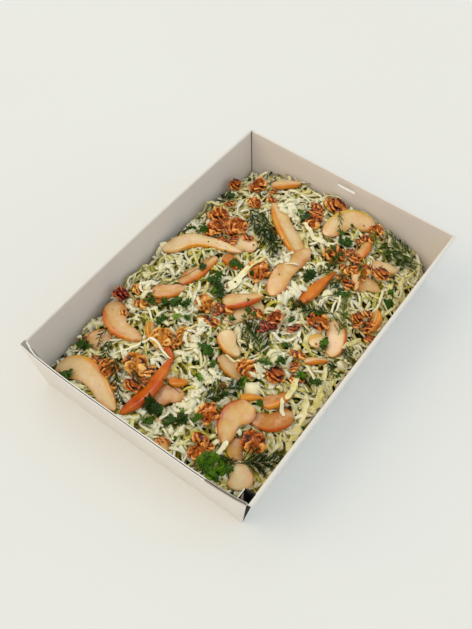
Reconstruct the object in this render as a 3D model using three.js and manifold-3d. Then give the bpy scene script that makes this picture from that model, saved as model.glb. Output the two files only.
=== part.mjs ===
// Coleslaw in a white paperboard catering tray, topped with pear slices and candied walnuts.
// Millimetres, +Z up. The origin is the middle of the tray's underside. X runs across the tray
// and Y along it. The near end is at -Y and the far end, with the finger slot, at +Y.

import * as THREE from 'three';
import { mergeVertices } from 'three/addons/utils/BufferGeometryUtils.js';
import Module from 'manifold-3d';

const wasm = await Module();
wasm.setup();

// ---- Tray: driving dimensions, given at the rim ----

const rimWidth = 252;
const rimLength = 359;
const trayHeight = 70;
const wallLean = 8.6; // how far each wall leans out between base and rim
const board = 1.2; // paperboard thickness
const longWall = 3.4; // a double wall folded over a rounded rim
const farWall = 2.4; // two boards glued together
const nearSlit = 0.7; // gap between the two boards of the near wall
const cornerGap = { length: 19, width: 5.2 }; // where the near wall's inner board swings away
const splitCorner = { width: 3.8, foot: 6 }; // open corner seam, widest at the rim
const cornerFlap = { length: 10.6, fromRim: 12 }; // folded end of a long wall, seen inside
const slot = { width: 22, height: 2.6, above: 59, middle: -1 };

// ---- Salad: driving dimensions ----

const crown = 45; // height of the heap in the middle of the tray
const slump = { side: 13, end: 2, corner: 20 }; // how much lower it is at the walls
const tangle = 2.2; // height of the small humps of shredded cabbage
const heapCell = 8.1; // spacing of the points on the heap's surface
const lowestSlaw = 6; // the heap covers the whole base at least this deep
const gap = 0.4; // clearance between neighbouring pieces

// ---- Worked-out sizes ----

const halfWidth = rimWidth / 2;
const halfLength = rimLength / 2;
const insideHalfWidth = halfWidth - longWall;
const insideHalfLength = halfLength - farWall;
const rimRadius = longWall / 2 + 0.2;
const flapNear = -halfLength + cornerFlap.fromRim;
const flapLeft = insideHalfWidth - cornerFlap.length;
const past = 5; // how far cutting shapes run past what they cut

// ---- Materials ----

function finish(color, roughness) {
  return new THREE.MeshStandardMaterial({ color, roughness, metalness: 0 });
}

// ---- Solids: joining and cutting ----

function toSolid(geometry) {
  const plain = geometry.index ? geometry.clone() : mergeVertices(geometry.clone());
  plain.deleteAttribute('normal');
  plain.deleteAttribute('uv');
  const merged = mergeVertices(plain);
  return new wasm.Manifold(new wasm.Mesh({
    numProp: 3,
    vertProperties: new Float32Array(merged.attributes.position.array),
    triVerts: new Uint32Array(merged.index.array),
  }));
}

function toGeometry(solid) {
  const mesh = solid.getMesh();
  const geometry = new THREE.BufferGeometry();
  geometry.setAttribute('position', new THREE.BufferAttribute(mesh.vertProperties, 3));
  geometry.setIndex(new THREE.BufferAttribute(mesh.triVerts, 1));
  return geometry;
}

function namedMesh(name, geometry, material) {
  const mesh = new THREE.Mesh(geometry, material);
  mesh.name = name;
  return mesh;
}

function movePoints(geometry, move) {
  const points = geometry.attributes.position;
  const point = new THREE.Vector3();
  for (let i = 0; i < points.count; i += 1) {
    point.fromBufferAttribute(points, i);
    move(point);
    points.setXYZ(i, point.x, point.y, point.z);
  }
  return geometry;
}

// ---- Tray ----

// Everything that follows the walls is drawn at the rim's size and narrowed towards the base.
function leanWithWalls(geometry) {
  return movePoints(geometry, (point) => {
    const narrowing = wallLean * (1 - point.z / trayHeight);
    point.x *= (halfWidth - narrowing) / halfWidth;
    point.y *= (halfLength - narrowing) / halfLength;
  });
}

function upright(outline, bottom, top) {
  const shape = new THREE.Shape(outline.map(([x, y]) => new THREE.Vector2(x, y)));
  const geometry = new THREE.ExtrudeGeometry(shape, { depth: top - bottom, bevelEnabled: false });
  return toSolid(leanWithWalls(geometry.translate(0, 0, bottom)));
}

function rectangle(left, right, near, far) {
  return [[left, near], [right, near], [right, far], [left, far]];
}

const outerBoardInside = -halfLength + board;
const innerBoardOutside = outerBoardInside + nearSlit;
const innerBoardInside = innerBoardOutside + board;
const swingStart = -halfWidth + cornerGap.length;
const swingWidth = cornerGap.width - nearSlit;

// The inside of the tray in plan. One near corner is cut off by the board that swings inwards.
function insideOutline(clearance) {
  const side = insideHalfWidth - clearance;
  const near = innerBoardInside + clearance;
  const far = insideHalfLength - clearance;
  return [[side, far], [-side, far], [-side, near + swingWidth], [swingStart, near], [side, near]];
}

function slitOutline() {
  const outside = -halfWidth - past;
  const right = insideHalfWidth - board;
  return [
    [right, outerBoardInside], [right, innerBoardOutside], [swingStart, innerBoardOutside],
    [-halfWidth, innerBoardOutside + swingWidth], [outside, innerBoardOutside + swingWidth],
    [outside, outerBoardInside],
  ];
}

// The seam of the other near corner opens towards the rim. It parts the outer board from the side.
function splitSeam() {
  const inner = outerBoardInside + nearSlit / 2;
  const seam = new THREE.Shape([
    new THREE.Vector2(halfWidth, splitCorner.foot),
    new THREE.Vector2(halfWidth + past, splitCorner.foot),
    new THREE.Vector2(halfWidth + past, trayHeight + past),
    new THREE.Vector2(halfWidth - splitCorner.width, trayHeight + past),
  ]);
  const geometry = new THREE.ExtrudeGeometry(seam, { depth: past, bevelEnabled: false });
  geometry.rotateX(Math.PI / 2);
  return toSolid(leanWithWalls(geometry.translate(0, inner, 0)));
}

// The fold bulges a little past both faces of its wall.
function roundedRim(side) {
  const near = innerBoardInside + (side < 0 ? swingWidth : 0) - board / 2;
  const roll = new THREE.CylinderGeometry(rimRadius, rimRadius, halfLength - near, 12);
  roll.translate(side * (halfWidth - rimRadius), (halfLength + near) / 2, trayHeight - rimRadius);
  return toSolid(roll);
}

function overLongWall(side) {
  const inner = side * (insideHalfWidth - board);
  const outer = side * (halfWidth + past);
  const outline = rectangle(Math.min(inner, outer), Math.max(inner, outer), -rimLength, rimLength);
  return upright(outline, trayHeight - rimRadius, trayHeight + past);
}

function foldedFlap() {
  const right = insideHalfWidth + board;
  const outline = rectangle(flapLeft, right, flapNear, flapNear + board);
  return upright(outline, board / 2, trayHeight - board);
}

function fingerSlot() {
  const lean = wallLean * (1 - slot.above / trayHeight);
  const box = new THREE.BoxGeometry(slot.width, 4 * farWall, slot.height);
  return toSolid(box.translate(slot.middle, halfLength - lean, slot.above + slot.height / 2));
}

function buildTray() {
  const outline = rectangle(-halfWidth, halfWidth, -halfLength, halfLength);
  let tray = upright(outline, 0, trayHeight);
  tray = tray.subtract(upright(insideOutline(0), board, trayHeight + past));
  tray = tray.subtract(upright(slitOutline(), board, trayHeight + past));
  for (const side of [-1, 1]) {
    tray = tray.subtract(overLongWall(side)).add(roundedRim(side));
  }
  tray = tray.subtract(splitSeam()).add(foldedFlap()).subtract(fingerSlot());
  return namedMesh('tray', toGeometry(tray), finish('#cfc8be', 0.85));
}

// ---- The heap's height ----

// The heap stays flat far out and drops close to the walls, most of all in the corners.
const shoulder = { wall: 5, corner: 2.2 };

function heapHeight(x, y) {
  const across = Math.abs(x) / insideHalfWidth;
  const along = Math.abs(y) / insideHalfLength;
  const atWalls = slump.side * across ** shoulder.wall + slump.end * along ** shoulder.wall;
  return crown - atWalls - slump.corner * (across * along) ** shoulder.corner;
}

// Two waves of bent ridges, a wide one and a fine one, stand for the tangled shreds.
function humps(x, y) {
  const wide = Math.sin(x / 8.7 + 1.4 * Math.sin(y / 17)) * Math.cos(y / 10.3 - 0.9 * Math.sin(x / 13));
  const fine = Math.sin(x / 4.1 + y / 5.3) * Math.cos(y / 4.7 - x / 6.1);
  return tangle * (wide + 0.6 * fine);
}

// ---- Toppings: laying one on another ----

const sampleStep = 0.6; // spacing of the points tested on a topping's surface
const gridCell = 0.5; // spacing of the grid that remembers how high the toppings stand
const gridColumns = Math.ceil(rimWidth / gridCell);
const gridRows = Math.ceil(rimLength / gridCell);
const laid = new Float32Array(gridColumns * gridRows);
const toppingPoints = [];

function forEachSurfacePoint(geometry, visit) {
  const points = geometry.attributes.position;
  const corners = [new THREE.Vector3(), new THREE.Vector3(), new THREE.Vector3()];
  const point = new THREE.Vector3();
  for (let i = 0; i < geometry.index.count; i += 3) {
    corners.forEach((corner, k) => corner.fromBufferAttribute(points, geometry.index.getX(i + k)));
    const [a, b, c] = corners;
    const longest = Math.max(a.distanceTo(b), b.distanceTo(c), c.distanceTo(a));
    const steps = Math.ceil(longest / sampleStep);
    for (let m = 0; m <= steps; m += 1) {
      for (let n = 0; n <= steps - m; n += 1) {
        point.copy(a).addScaledVector(b, m / steps).addScaledVector(a, -m / steps);
        point.addScaledVector(c, n / steps).addScaledVector(a, -n / steps);
        visit(point);
      }
    }
  }
}

function gridColumn(x) {
  return Math.round((x + halfWidth) / gridCell);
}

function gridRow(y) {
  return Math.round((y + halfLength) / gridCell);
}

// Slides a topping off the walls that it would run into.
function keepInside(geometry) {
  const over = { left: 0, right: 0, near: 0, far: 0 };
  forEachSurfacePoint(geometry, (point) => {
    const narrowing = wallLean * (1 - point.z / trayHeight);
    const side = insideHalfWidth * (1 - narrowing / halfWidth) - gap;
    const end = 1 - narrowing / halfLength;
    over.left = Math.max(over.left, -side - point.x);
    over.right = Math.max(over.right, point.x - side);
    over.near = Math.max(over.near, innerBoardInside * end + gap - point.y);
    over.far = Math.max(over.far, point.y - insideHalfLength * end + gap);
  });
  geometry.translate(over.left - over.right, over.near - over.far, 0);
}

// Lifts a topping just clear of the ones laid before it and remembers how high it stands.
function layOnPile(geometry) {
  keepInside(geometry);
  let lift = 0;
  forEachSurfacePoint(geometry, (point) => {
    const top = laid[gridRow(point.y) * gridColumns + gridColumn(point.x)];
    lift = Math.max(lift, top + gap - point.z);
  });
  geometry.translate(0, 0, lift);
  forEachSurfacePoint(geometry, (point) => {
    toppingPoints.push(point.clone());
    for (let row = gridRow(point.y) - 1; row <= gridRow(point.y) + 1; row += 1) {
      for (let column = gridColumn(point.x) - 1; column <= gridColumn(point.x) + 1; column += 1) {
        const cell = row * gridColumns + column;
        laid[cell] = Math.max(laid[cell], point.z);
      }
    }
  });
}

// ---- Pear slices ----

// A slice is a long wedge of fruit, thick at its skin and thin at its core, with a broad
// and a narrow end. It is bent along a line over the heap. `roll` raises the skin edge.
const coreThinness = 0.35;
const bluntness = 0.75; // how squarely the ends are cut, from 1 for an oval

function pearSlice({ path, width, thick = 6, roll = 0, skin = 1, neck = 0.25, rise = 1 }) {
  const centres = path.map(([x, y]) => new THREE.Vector3(x, y, heapHeight(x, y) + rise));
  const spine = new THREE.CatmullRomCurve3(centres);
  const geometry = new THREE.SphereGeometry(1, 6, 9, Math.PI / 6);
  geometry.deleteAttribute('normal');
  geometry.deleteAttribute('uv');
  const slice = mergeVertices(geometry, 1e-3);
  const turn = THREE.MathUtils.degToRad(roll);
  movePoints(slice, (point) => {
    const along = point.y;
    const ring = Math.max(Math.hypot(point.x, point.z), 1e-6);
    const fullness = ring ** bluntness / ring;
    const across = point.x * fullness * (1 - neck * along);
    const wedge = (1 + coreThinness + (1 - coreThinness) * point.x) / 2;
    const up = point.z * fullness * wedge * thick / 2;
    const share = (1 + along) / 2;
    const forward = spine.getTangentAt(share);
    const sideways = new THREE.Vector3(-forward.y, forward.x, 0).normalize();
    const normal = new THREE.Vector3().crossVectors(forward, sideways);
    const toSkin = sideways.clone().multiplyScalar(skin * Math.cos(turn));
    toSkin.addScaledVector(normal, Math.sin(turn));
    const toFace = new THREE.Vector3().crossVectors(toSkin, forward);
    point.copy(spine.getPointAt(share));
    point.addScaledVector(toSkin, across * width / 2);
    point.addScaledVector(toFace, up);
  });
  return slice;
}

// ---- Candied walnuts ----

// Half a kernel: lobed round its edge, cleft along its crown, nearly flat underneath.
const lobes = 4;
const lobeDepth = 0.13;
const cleft = { depth: 0.3, width: 0.3 };
const upperHalf = 0.67; // share of the kernel's height above its middle
const underside = 0.5; // how deep the lower half is, beside the upper one

function walnutKernel({ at: [x, y], size: [length, width, height], turn, tilt = 0, rise = 3 }) {
  const geometry = new THREE.SphereGeometry(1, 10, 6);
  geometry.rotateX(Math.PI / 2);
  geometry.deleteAttribute('normal');
  geometry.deleteAttribute('uv');
  const kernel = mergeVertices(geometry, 1e-3);
  movePoints(kernel, (point) => {
    const lobe = 1 + lobeDepth * Math.cos(lobes * Math.atan2(point.y, point.x) + turn);
    const sunk = cleft.depth * Math.max(point.z, 0) * Math.exp(-((point.y / cleft.width) ** 2));
    const reach = height * upperHalf * (point.z < 0 ? underside : 1);
    point.set(point.x * lobe * length / 2, point.y * lobe * width / 2, (point.z - sunk) * reach);
  });
  kernel.rotateX(THREE.MathUtils.degToRad(tilt));
  kernel.rotateZ(THREE.MathUtils.degToRad(turn));
  return kernel.translate(x, y, heapHeight(x, y) + rise);
}

// ---- Where the toppings lie, from the lowest to the highest ----
// path: start, middle and end of a slice. skin: 1 on the left of that direction, -1 on the right.

const peach = '#e3b583';
const ginger = '#d98a3a';
const skinRed = '#c4561f';
const mostlySkin = 35; // a slice rolled further than this shows little but its skin

const pearSlices = [
  { path: [[-99, -128], [-95, -117], [-90, -104]], width: 22, thick: 5, rise: -2 },
  { path: [[-10, -138], [0, -128], [13, -120]], width: 22, thick: 5, rise: -2 },
  { path: [[-86, -46], [-77, -39], [-64, -27]], width: 16, thick: 5, roll: 8, skin: -1 },
  { path: [[-60, 47], [-52, 60], [-36, 65]], width: 26, thick: 5, rise: -1 },
  { path: [[11, 9], [3, -12], [-8, -34]], width: 19, thick: 5, skin: -1, rise: -2 },
  { path: [[73, -124], [80, -133], [88, -141]], width: 16, thick: 5, skin: -1, rise: -2 },
  { path: [[67, 88], [79, 97], [93, 101]], width: 18, thick: 5, skin: 1, rise: -2 },
  { path: [[-112, -76], [-88, -97], [-57, -100]], width: 21, skin: -1, roll: 5, rise: 3 },
  { path: [[-71, -22], [-65, 4], [-61, 28]], width: 13, skin: -1, roll: 30, rise: 1 },
  { path: [[-56, 33], [-43, 33], [-25, 31]], width: 14, thick: 7, skin: -1, roll: 30, rise: 2 },
  { path: [[-76, 148], [-62, 159], [-50, 168]], width: 14, thick: 7, skin: -1, roll: 25, rise: 5 },
  { path: [[-58, 126], [-31, 106], [5, 83]], width: 20, skin: -1, roll: 10, rise: 3, neck: -0.3 },
  { path: [[11, 92], [7, 61], [12, 18]], width: 21, skin: -1, rise: -1, neck: -0.2 },
  { path: [[-22, -16], [-7, -2], [6, 15]], width: 17, skin: -1, roll: 18, rise: 4 },
  { path: [[12, -62], [27, -68], [46, -73]], width: 19, skin: -1, roll: 20, rise: -4 },
  { path: [[-1, -40], [12, -50], [27, -56]], width: 20, skin: -1, roll: 8, rise: 0 },
  { path: [[38, 26], [42, 60], [47, 87]], width: 17, thick: 8, skin: -1, roll: 30, rise: 3, neck: 0.4 },
  { path: [[78, 35], [89, 20], [98, -1]], width: 22, skin: 1, roll: 5, rise: 2, neck: 0 },
  { path: [[50, 146], [52, 128], [53, 110]], width: 14, skin: 1, roll: 15, rise: 0 },
  { path: [[73, 117], [82, 127], [94, 137]], width: 20, skin: -1, rise: 1 },
  { path: [[104, 76], [109, 65], [111, 47]], width: 13, thick: 7, skin: 1, roll: 40, rise: 3 },
  { path: [[74, -84], [82, -70], [89, -58]], width: 14, skin: -1, roll: 25, rise: 1 },
  { path: [[88, -140], [96, -148], [103, -159]], width: 25, skin: 1, rise: 1, neck: -0.1 },
  { path: [[10, 120], [21, 156], [47, 165]], width: 22, skin: 1, roll: 8, rise: 4, neck: 0 },
  { path: [[74, -102], [90, -92], [101, -72]], width: 22, skin: -1, roll: 12, rise: 1, neck: -0.1 },
  { path: [[69, -91], [62, -114], [70, -137]], width: 25, skin: -1, roll: 6, rise: 3, neck: 0.3 },
  { path: [[-20, -171], [-15, -141], [-19, -96]], width: 18, thick: 8, skin: -1, roll: 30, rise: 4, neck: 0.4 },
  { path: [[-110, -160], [-82, -153], [-27, -169]], width: 25, skin: 1, roll: 8, rise: 4, neck: 0.3 },
  { path: [[-114, 3], [-93, 32], [-44, 45]], width: 18, skin: -1, roll: 8, rise: 4, neck: 0.3 },
];

const walnuts = [
  { at: [-111, 127], size: [17, 12, 15], turn: 60, tilt: 25, rise: 8 },
  { at: [-96, 77], size: [26, 22, 13], turn: 30 },
  { at: [-73, 112], size: [20, 17, 12], turn: 10, rise: 4 },
  { at: [-88, 140], size: [22, 16, 13], turn: 75, rise: 4 },
  { at: [-8, 129], size: [25, 14, 11], turn: -62, rise: 2 },
  { at: [-2, 163], size: [27, 19, 12], turn: 8 },
  { at: [34, 104], size: [26, 20, 13], turn: 20 },
  { at: [-15, 37], size: [31, 21, 14], turn: -55, rise: 2 },
  { at: [52, 158], size: [19, 12, 11], turn: 35, rise: 4 },
  { at: [68, 107], size: [20, 10, 10], turn: -50 },
  { at: [85, 113], size: [22, 12, 10], turn: 40, rise: 4 },
  { at: [-110, -67], size: [17, 14, 12], turn: 40, rise: 7 },
  { at: [-99, -52], size: [17, 12, 10], turn: 20, rise: 2 },
  { at: [-41, -86], size: [29, 18, 14], turn: -58, rise: 4 },
  { at: [-45, -122], size: [27, 24, 14], turn: -50 },
  { at: [-31, -142], size: [18, 12, 10], turn: 25 },
  { at: [-59, -141], size: [25, 12, 11], turn: -52, rise: 0 },
  { at: [-34, -29], size: [24, 20, 13], turn: -30 },
  { at: [31, -1], size: [23, 12, 11], turn: 65 },
  { at: [67, 21], size: [26, 14, 12], turn: 40 },
  { at: [67, -53], size: [26, 13, 12], turn: 52 },
  { at: [42, -63], size: [21, 18, 12], turn: -40 },
  { at: [43, -124], size: [23, 18, 13], turn: -55 },
  { at: [58, -157], size: [26, 13, 12], turn: 52, rise: 2 },
  { at: [89, -119], size: [25, 21, 13], turn: -40, rise: 4 },
  { at: [94, 52], size: [16, 13, 11], turn: 30 },
  { at: [-28, -69], size: [19, 11, 10], turn: -60 },
  { at: [-85, 55], size: [22, 18, 13], turn: 60 },
  { at: [-68, 73], size: [22, 20, 13], turn: -20 },
];

function nodeNumber(index) {
  return String(index + 1).padStart(2, '0');
}

function layToppings() {
  const pears = pearSlices.map((slice, index) => {
    const geometry = pearSlice(slice);
    layOnPile(geometry);
    const colour = slice.roll > mostlySkin ? skinRed : peach;
    return namedMesh(`pear_slice_${nodeNumber(index)}`, geometry, finish(colour, 0.45));
  });
  const kernels = walnuts.map((walnut, index) => {
    const geometry = walnutKernel(walnut);
    layOnPile(geometry);
    return namedMesh(`walnut_${nodeNumber(index)}`, geometry, finish(ginger, 0.3));
  });
  return [...pears, ...kernels];
}

// ---- Slaw ----

// The heap is a block whose top follows the humps and is pressed down under each topping.
// It is then cut to the inside of the tray, and round the flap in one near corner.
function buildSlaw() {
  const columns = Math.round(rimWidth / heapCell);
  const rows = Math.round(rimLength / heapCell);
  const block = new THREE.BoxGeometry(rimWidth, rimLength, 1, columns, rows, 1);
  const columnStep = rimWidth / columns;
  const rowStep = rimLength / rows;
  const pressed = new Map();
  for (const point of toppingPoints) {
    const column = Math.floor((point.x + halfWidth) / columnStep);
    const row = Math.floor((point.y + halfLength) / rowStep);
    for (const c of [column, column + 1]) {
      for (const r of [row, row + 1]) {
        const key = r * (columns + 1) + c;
        pressed.set(key, Math.min(pressed.get(key) ?? Infinity, point.z - gap));
      }
    }
  }
  movePoints(block, (point) => {
    const column = Math.round((point.x + halfWidth) / columnStep);
    const row = Math.round((point.y + halfLength) / rowStep);
    const free = heapHeight(point.x, point.y) + humps(point.x, point.y);
    const under = pressed.get(row * (columns + 1) + column) ?? Infinity;
    point.z = point.z > 0 ? Math.max(Math.min(free, under), lowestSlaw) : -past;
  });
  const pocket = rectangle(flapLeft - gap, halfWidth, -halfLength, flapNear + board + gap);
  let slaw = toSolid(block).intersect(upright(insideOutline(gap), board + gap, trayHeight));
  slaw = slaw.subtract(upright(pocket, -past, trayHeight));
  return namedMesh('slaw', toGeometry(slaw), finish('#dcdcc0', 0.6));
}

const coleslaw = new THREE.Group();
const toppings = layToppings();
coleslaw.add(buildTray(), buildSlaw(), ...toppings);

export default coleslaw;
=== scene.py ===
# %% [markdown]
# # Coleslaw in a paperboard tray
# A caterer's tray of shredded cabbage with pear slices, candied walnuts, dill and parsley. The packed
# CAD model is the frame that everything is built around: it says how big the tray is, how high the
# heap stands and where each topping lies. Here every surface gets the look of the real thing.

# %% Load the frame
import contextlib
import itertools
import math

import bmesh
import bpy
import numpy as np
from mathutils import Matrix, Vector


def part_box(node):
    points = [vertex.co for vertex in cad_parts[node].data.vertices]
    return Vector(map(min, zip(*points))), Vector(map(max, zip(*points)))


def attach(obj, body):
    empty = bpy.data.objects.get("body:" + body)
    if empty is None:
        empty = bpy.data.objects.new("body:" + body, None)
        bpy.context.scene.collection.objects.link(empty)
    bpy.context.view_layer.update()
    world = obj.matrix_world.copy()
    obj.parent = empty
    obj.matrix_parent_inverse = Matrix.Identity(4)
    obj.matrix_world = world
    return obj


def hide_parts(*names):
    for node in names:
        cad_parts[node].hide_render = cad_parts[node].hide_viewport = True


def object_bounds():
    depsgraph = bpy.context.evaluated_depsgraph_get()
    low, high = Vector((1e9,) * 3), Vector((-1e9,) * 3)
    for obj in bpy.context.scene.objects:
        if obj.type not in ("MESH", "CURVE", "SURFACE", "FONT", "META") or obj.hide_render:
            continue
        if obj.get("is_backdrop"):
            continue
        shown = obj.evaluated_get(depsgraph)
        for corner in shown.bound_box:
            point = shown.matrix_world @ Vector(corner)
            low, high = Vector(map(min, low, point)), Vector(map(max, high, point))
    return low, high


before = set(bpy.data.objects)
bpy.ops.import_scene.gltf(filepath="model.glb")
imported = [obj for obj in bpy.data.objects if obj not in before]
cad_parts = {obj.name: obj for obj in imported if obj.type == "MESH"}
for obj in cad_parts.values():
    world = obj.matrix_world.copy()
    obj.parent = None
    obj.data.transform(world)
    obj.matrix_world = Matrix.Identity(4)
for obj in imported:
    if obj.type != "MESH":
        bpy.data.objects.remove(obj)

cad_low, cad_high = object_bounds()
print("frame:", len(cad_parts), "nodes,", [round(side, 4) for side in cad_high - cad_low], "m")

# %% [markdown]
# ## The viewpoint
# A tray of food is best seen from above one corner, as a guest at the table sees it. The camera could
# be aimed by hand, but three turns say it more plainly: round the table, down on the food, and a
# slight tilt of the head. It then steps back, and a little to the side and up, in its own directions.

# %% Camera
round_the_table = math.radians(32.68)
down_on_the_food = math.radians(55.10)
tilt_of_the_head = math.radians(4.23)
step_back = Vector((-0.0114, 0.0155, 0.8444))
focal_length = 46.64

turned = (
    Matrix.Rotation(round_the_table, 4, "Z")
    @ Matrix.Rotation(math.pi / 2 - down_on_the_food, 4, "X")
    @ Matrix.Rotation(tilt_of_the_head, 4, "Z")
)
camera = bpy.data.objects.new("camera", bpy.data.cameras.new("camera"))
camera.data.lens = focal_length
camera.matrix_world = Matrix.Translation(turned @ step_back) @ turned
bpy.context.scene.collection.objects.link(camera)
bpy.context.scene.camera = camera
print("camera at", [round(c, 3) for c in camera.location])

# %% [markdown]
# ## Writing materials as sums
# A material is a small program of nodes. Linking them by hand takes many lines, so a wire is wrapped
# in a class whose +, - and * add the Math node that does the sum. A second class holds the material
# and adds every other kind of node. Most materials here cloud from one colour to another, so one
# function makes those. Colours are written as they look on a screen, 0 to 255, and turned to the
# light values that the renderer works with.

# %% Wires and finishes
def colour(red, green, blue):
    def to_light(level):
        level /= 255
        return level / 12.92 if level <= 0.04045 else ((level + 0.055) / 1.055) ** 2.4
    return (to_light(red), to_light(green), to_light(blue), 1.0)


class Wire:
    """One output socket in a material, which Python's operators work on."""

    def __init__(self, finish, socket):
        self.finish, self.socket = finish, socket

    def sum(self, operation, first, second):
        return self.finish.node("ShaderNodeMath", {"operation": operation}, {0: first, 1: second})

    def __add__(self, other):
        return self.sum("ADD", self, other)

    def __sub__(self, other):
        return self.sum("SUBTRACT", self, other)

    def __rsub__(self, other):
        return self.sum("SUBTRACT", other, self)

    def __mul__(self, other):
        return self.sum("MULTIPLY", self, other)

    __radd__, __rmul__ = __add__, __mul__

    def between(self, low, high):
        """0 below low, 1 above high and a smooth step from one to the other."""
        settings = {"interpolation_type": "SMOOTHSTEP"}
        return self.finish.node("ShaderNodeMapRange", settings, {0: self, 1: low, 2: high})


class Finish:
    """A material being built on a Principled shader."""

    def __init__(self, name, **fixed):
        self.material = bpy.data.materials.new(name)
        self.material.use_nodes = True
        self.tree = self.material.node_tree
        self.shader = self.tree.nodes["Principled BSDF"]
        for socket, value in fixed.items():
            self.shader.inputs[socket.replace("_", " ")].default_value = value

    def link(self, socket, value):
        if isinstance(value, Wire):
            self.tree.links.new(value.socket, socket)
        else:
            socket.default_value = value

    def node(self, kind, settings=None, sockets=None, output=0):
        made = self.tree.nodes.new(kind)
        for name, value in (settings or {}).items():
            if name == "stops":
                while len(made.color_ramp.elements) < len(value):
                    made.color_ramp.elements.new(1.0)
                for stop, (place, tint) in zip(made.color_ramp.elements, value):
                    stop.position, stop.color = place, tint
            else:
                setattr(made, name, value)
        for name, value in (sockets or {}).items():
            self.link(made.inputs[name], value)
        return Wire(self, made.outputs[output])

    def mark(self, name):
        """A value that the mesh itself carries at each of its points."""
        return self.node("ShaderNodeAttribute", {"attribute_name": name}, output="Fac")

    def place(self):
        return self.node("ShaderNodeTexCoord", output="Object")

    def grain(self, size, detail=2.0):
        """Cloudy noise whose clouds are about this many metres across."""
        sockets = {"Vector": self.place(), "Scale": 1 / size, "Detail": detail}
        return self.node("ShaderNodeTexNoise", sockets=sockets)

    def mix(self, factor, first, second):
        settings = {"data_type": "RGBA"}
        return self.node("ShaderNodeMix", settings, {0: factor, 6: first, 7: second}, output=2)

    def ramp(self, value, *stops):
        stops = [(place, colour(*tint)) for place, tint in stops]
        return self.node("ShaderNodeValToRGB", {"stops": stops}, {0: value})

    def paint(self, tint):
        self.link(self.shader.inputs["Base Color"], tint)

    def emboss(self, height, depth):
        """Small relief: height runs from 0 to 1 and depth is in metres."""
        sockets = {"Height": height, "Distance": depth, "Strength": 1.0}
        bumped = self.node("ShaderNodeBump", sockets=sockets)
        self.link(self.shader.inputs["Normal"], bumped)


def clouded(name, first, second, size, detail=2.0, **fixed):
    """A finish whose colour clouds from the first to the second."""
    finish = Finish(name, **fixed)
    finish.paint(finish.mix(finish.grain(size, detail), colour(*first), colour(*second)))
    return finish


print("linear value of a mid grey:", round(colour(128, 128, 128)[0], 3))

# %% [markdown]
# ## The table and the light
# The tray stands on a plain pale table in a bright room. Nearly all the light is even and comes from
# all around. On top of it there are two very soft suns: a warm, low one from the near left, which
# lights the near wall, and a weak cool one from the far right. A sun gives the same light all over
# the table, where a lamp close by would leave a bright pool, and its angle sets how soft shadows are.
# A third stands very low on the right and lifts the upper half of the walls that face it. A fourth is
# the window: it lights nothing by itself, but wet and candied things glint in it.

# %% Table and light
room_light = (0.794, 0.790, 0.773, 1.0)
table_finish = clouded("table_top", (232, 231, 229), (235, 235, 233), 0.35, 1.0, Roughness=0.75)
bpy.ops.object.select_all(action="DESELECT")
bpy.ops.mesh.primitive_circle_add(vertices=64, radius=4.0, fill_type="NGON")
table_top = bpy.context.object
table_top.name = "table_top"
table_top.data.materials.append(table_finish.material)
table_top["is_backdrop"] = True


def sun_light(name, bearing, height, spread, strength, tint, glint=False):
    """bearing is the side it shines from, in degrees round the table from the tray's +X side."""
    light = bpy.data.objects.new(name, bpy.data.lights.new(name, "SUN"))
    light.visible_diffuse = not glint
    light.data.energy, light.data.angle, light.data.color = strength, math.radians(spread), tint
    around, up = math.radians(bearing), math.radians(height)
    towards = Vector((math.cos(around) * math.cos(up), math.sin(around) * math.cos(up), math.sin(up)))
    light.rotation_euler = towards.to_track_quat("Z", "Y").to_euler()
    bpy.context.scene.collection.objects.link(light)


sun_light("warm_side", 218, 40, 50, 0.76, (1.0, 0.84, 0.50))
sun_light("cool_side", 38, 40, 80, 0.29, (0.12, 0.71, 1.0))
sun_light("low_side", 12, 9, 40, 0.27, (0.80, 0.89, 1.0))
sun_light("window", 150, 58, 16, 2.0, (1.0, 0.95, 0.86), glint=True)
room = bpy.data.worlds.new("room")
room.use_nodes = True
room.node_tree.nodes["Background"].inputs["Color"].default_value = room_light
bpy.context.scene.world = room
bpy.context.scene.view_settings.view_transform = "Standard"
print("light: an even room and", len(bpy.data.lights), "suns")

# %% [markdown]
# ## Working by hand
# Most pieces below start as a primitive and are shaped in edit mode. Blender's operators act on
# whatever is selected, so a few helpers keep that tidy: one makes a piece the only one selected, one
# starts a new piece from a primitive, one opens a piece for editing, and one picks the faces, edges
# or vertices that pass a test. Where a whole wall has to bow or flare, all of a piece's points are
# read into one array, moved and put back.

# %% Helpers for modelling
def only(piece):
    bpy.ops.object.select_all(action="DESELECT")
    piece.select_set(True)
    bpy.context.view_layer.objects.active = piece


def start_from(add_primitive, **settings):
    """Adds a primitive while nothing else is selected, and returns its object."""
    bpy.ops.object.select_all(action="DESELECT")
    add_primitive(**settings)
    return bpy.context.object


@contextlib.contextmanager
def editing(piece, kind):
    only(piece)
    bpy.ops.object.mode_set(mode="EDIT")
    bpy.ops.mesh.select_mode(type=kind)
    yield
    bpy.ops.object.mode_set(mode="OBJECT")


def pick(piece, kind, test):
    bpy.ops.mesh.select_all(action="DESELECT")
    shape = bmesh.from_edit_mesh(piece.data)
    chosen = [part for part in getattr(shape, kind) if test(part)]
    for part in chosen:
        part.select_set(True)
    shape.select_flush_mode()
    bmesh.update_edit_mesh(piece.data)
    return len(chosen)


def runs_along(axis, shortest=1):
    """A test that finds the edges longer than this along one axis, to cut them across."""
    return lambda edge: abs((edge.verts[0].co - edge.verts[1].co)[axis]) > shortest


def apply_modifier(piece, kind, **settings):
    only(piece)
    modifier = piece.modifiers.new(kind.title(), kind)
    for name, value in settings.items():
        setattr(modifier, name, value)
    bpy.ops.object.modifier_apply(modifier=modifier.name)


def read_points(piece):
    points = np.empty(len(piece.data.vertices) * 3)
    piece.data.vertices.foreach_get("co", points)
    return points.reshape(-1, 3)


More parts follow.
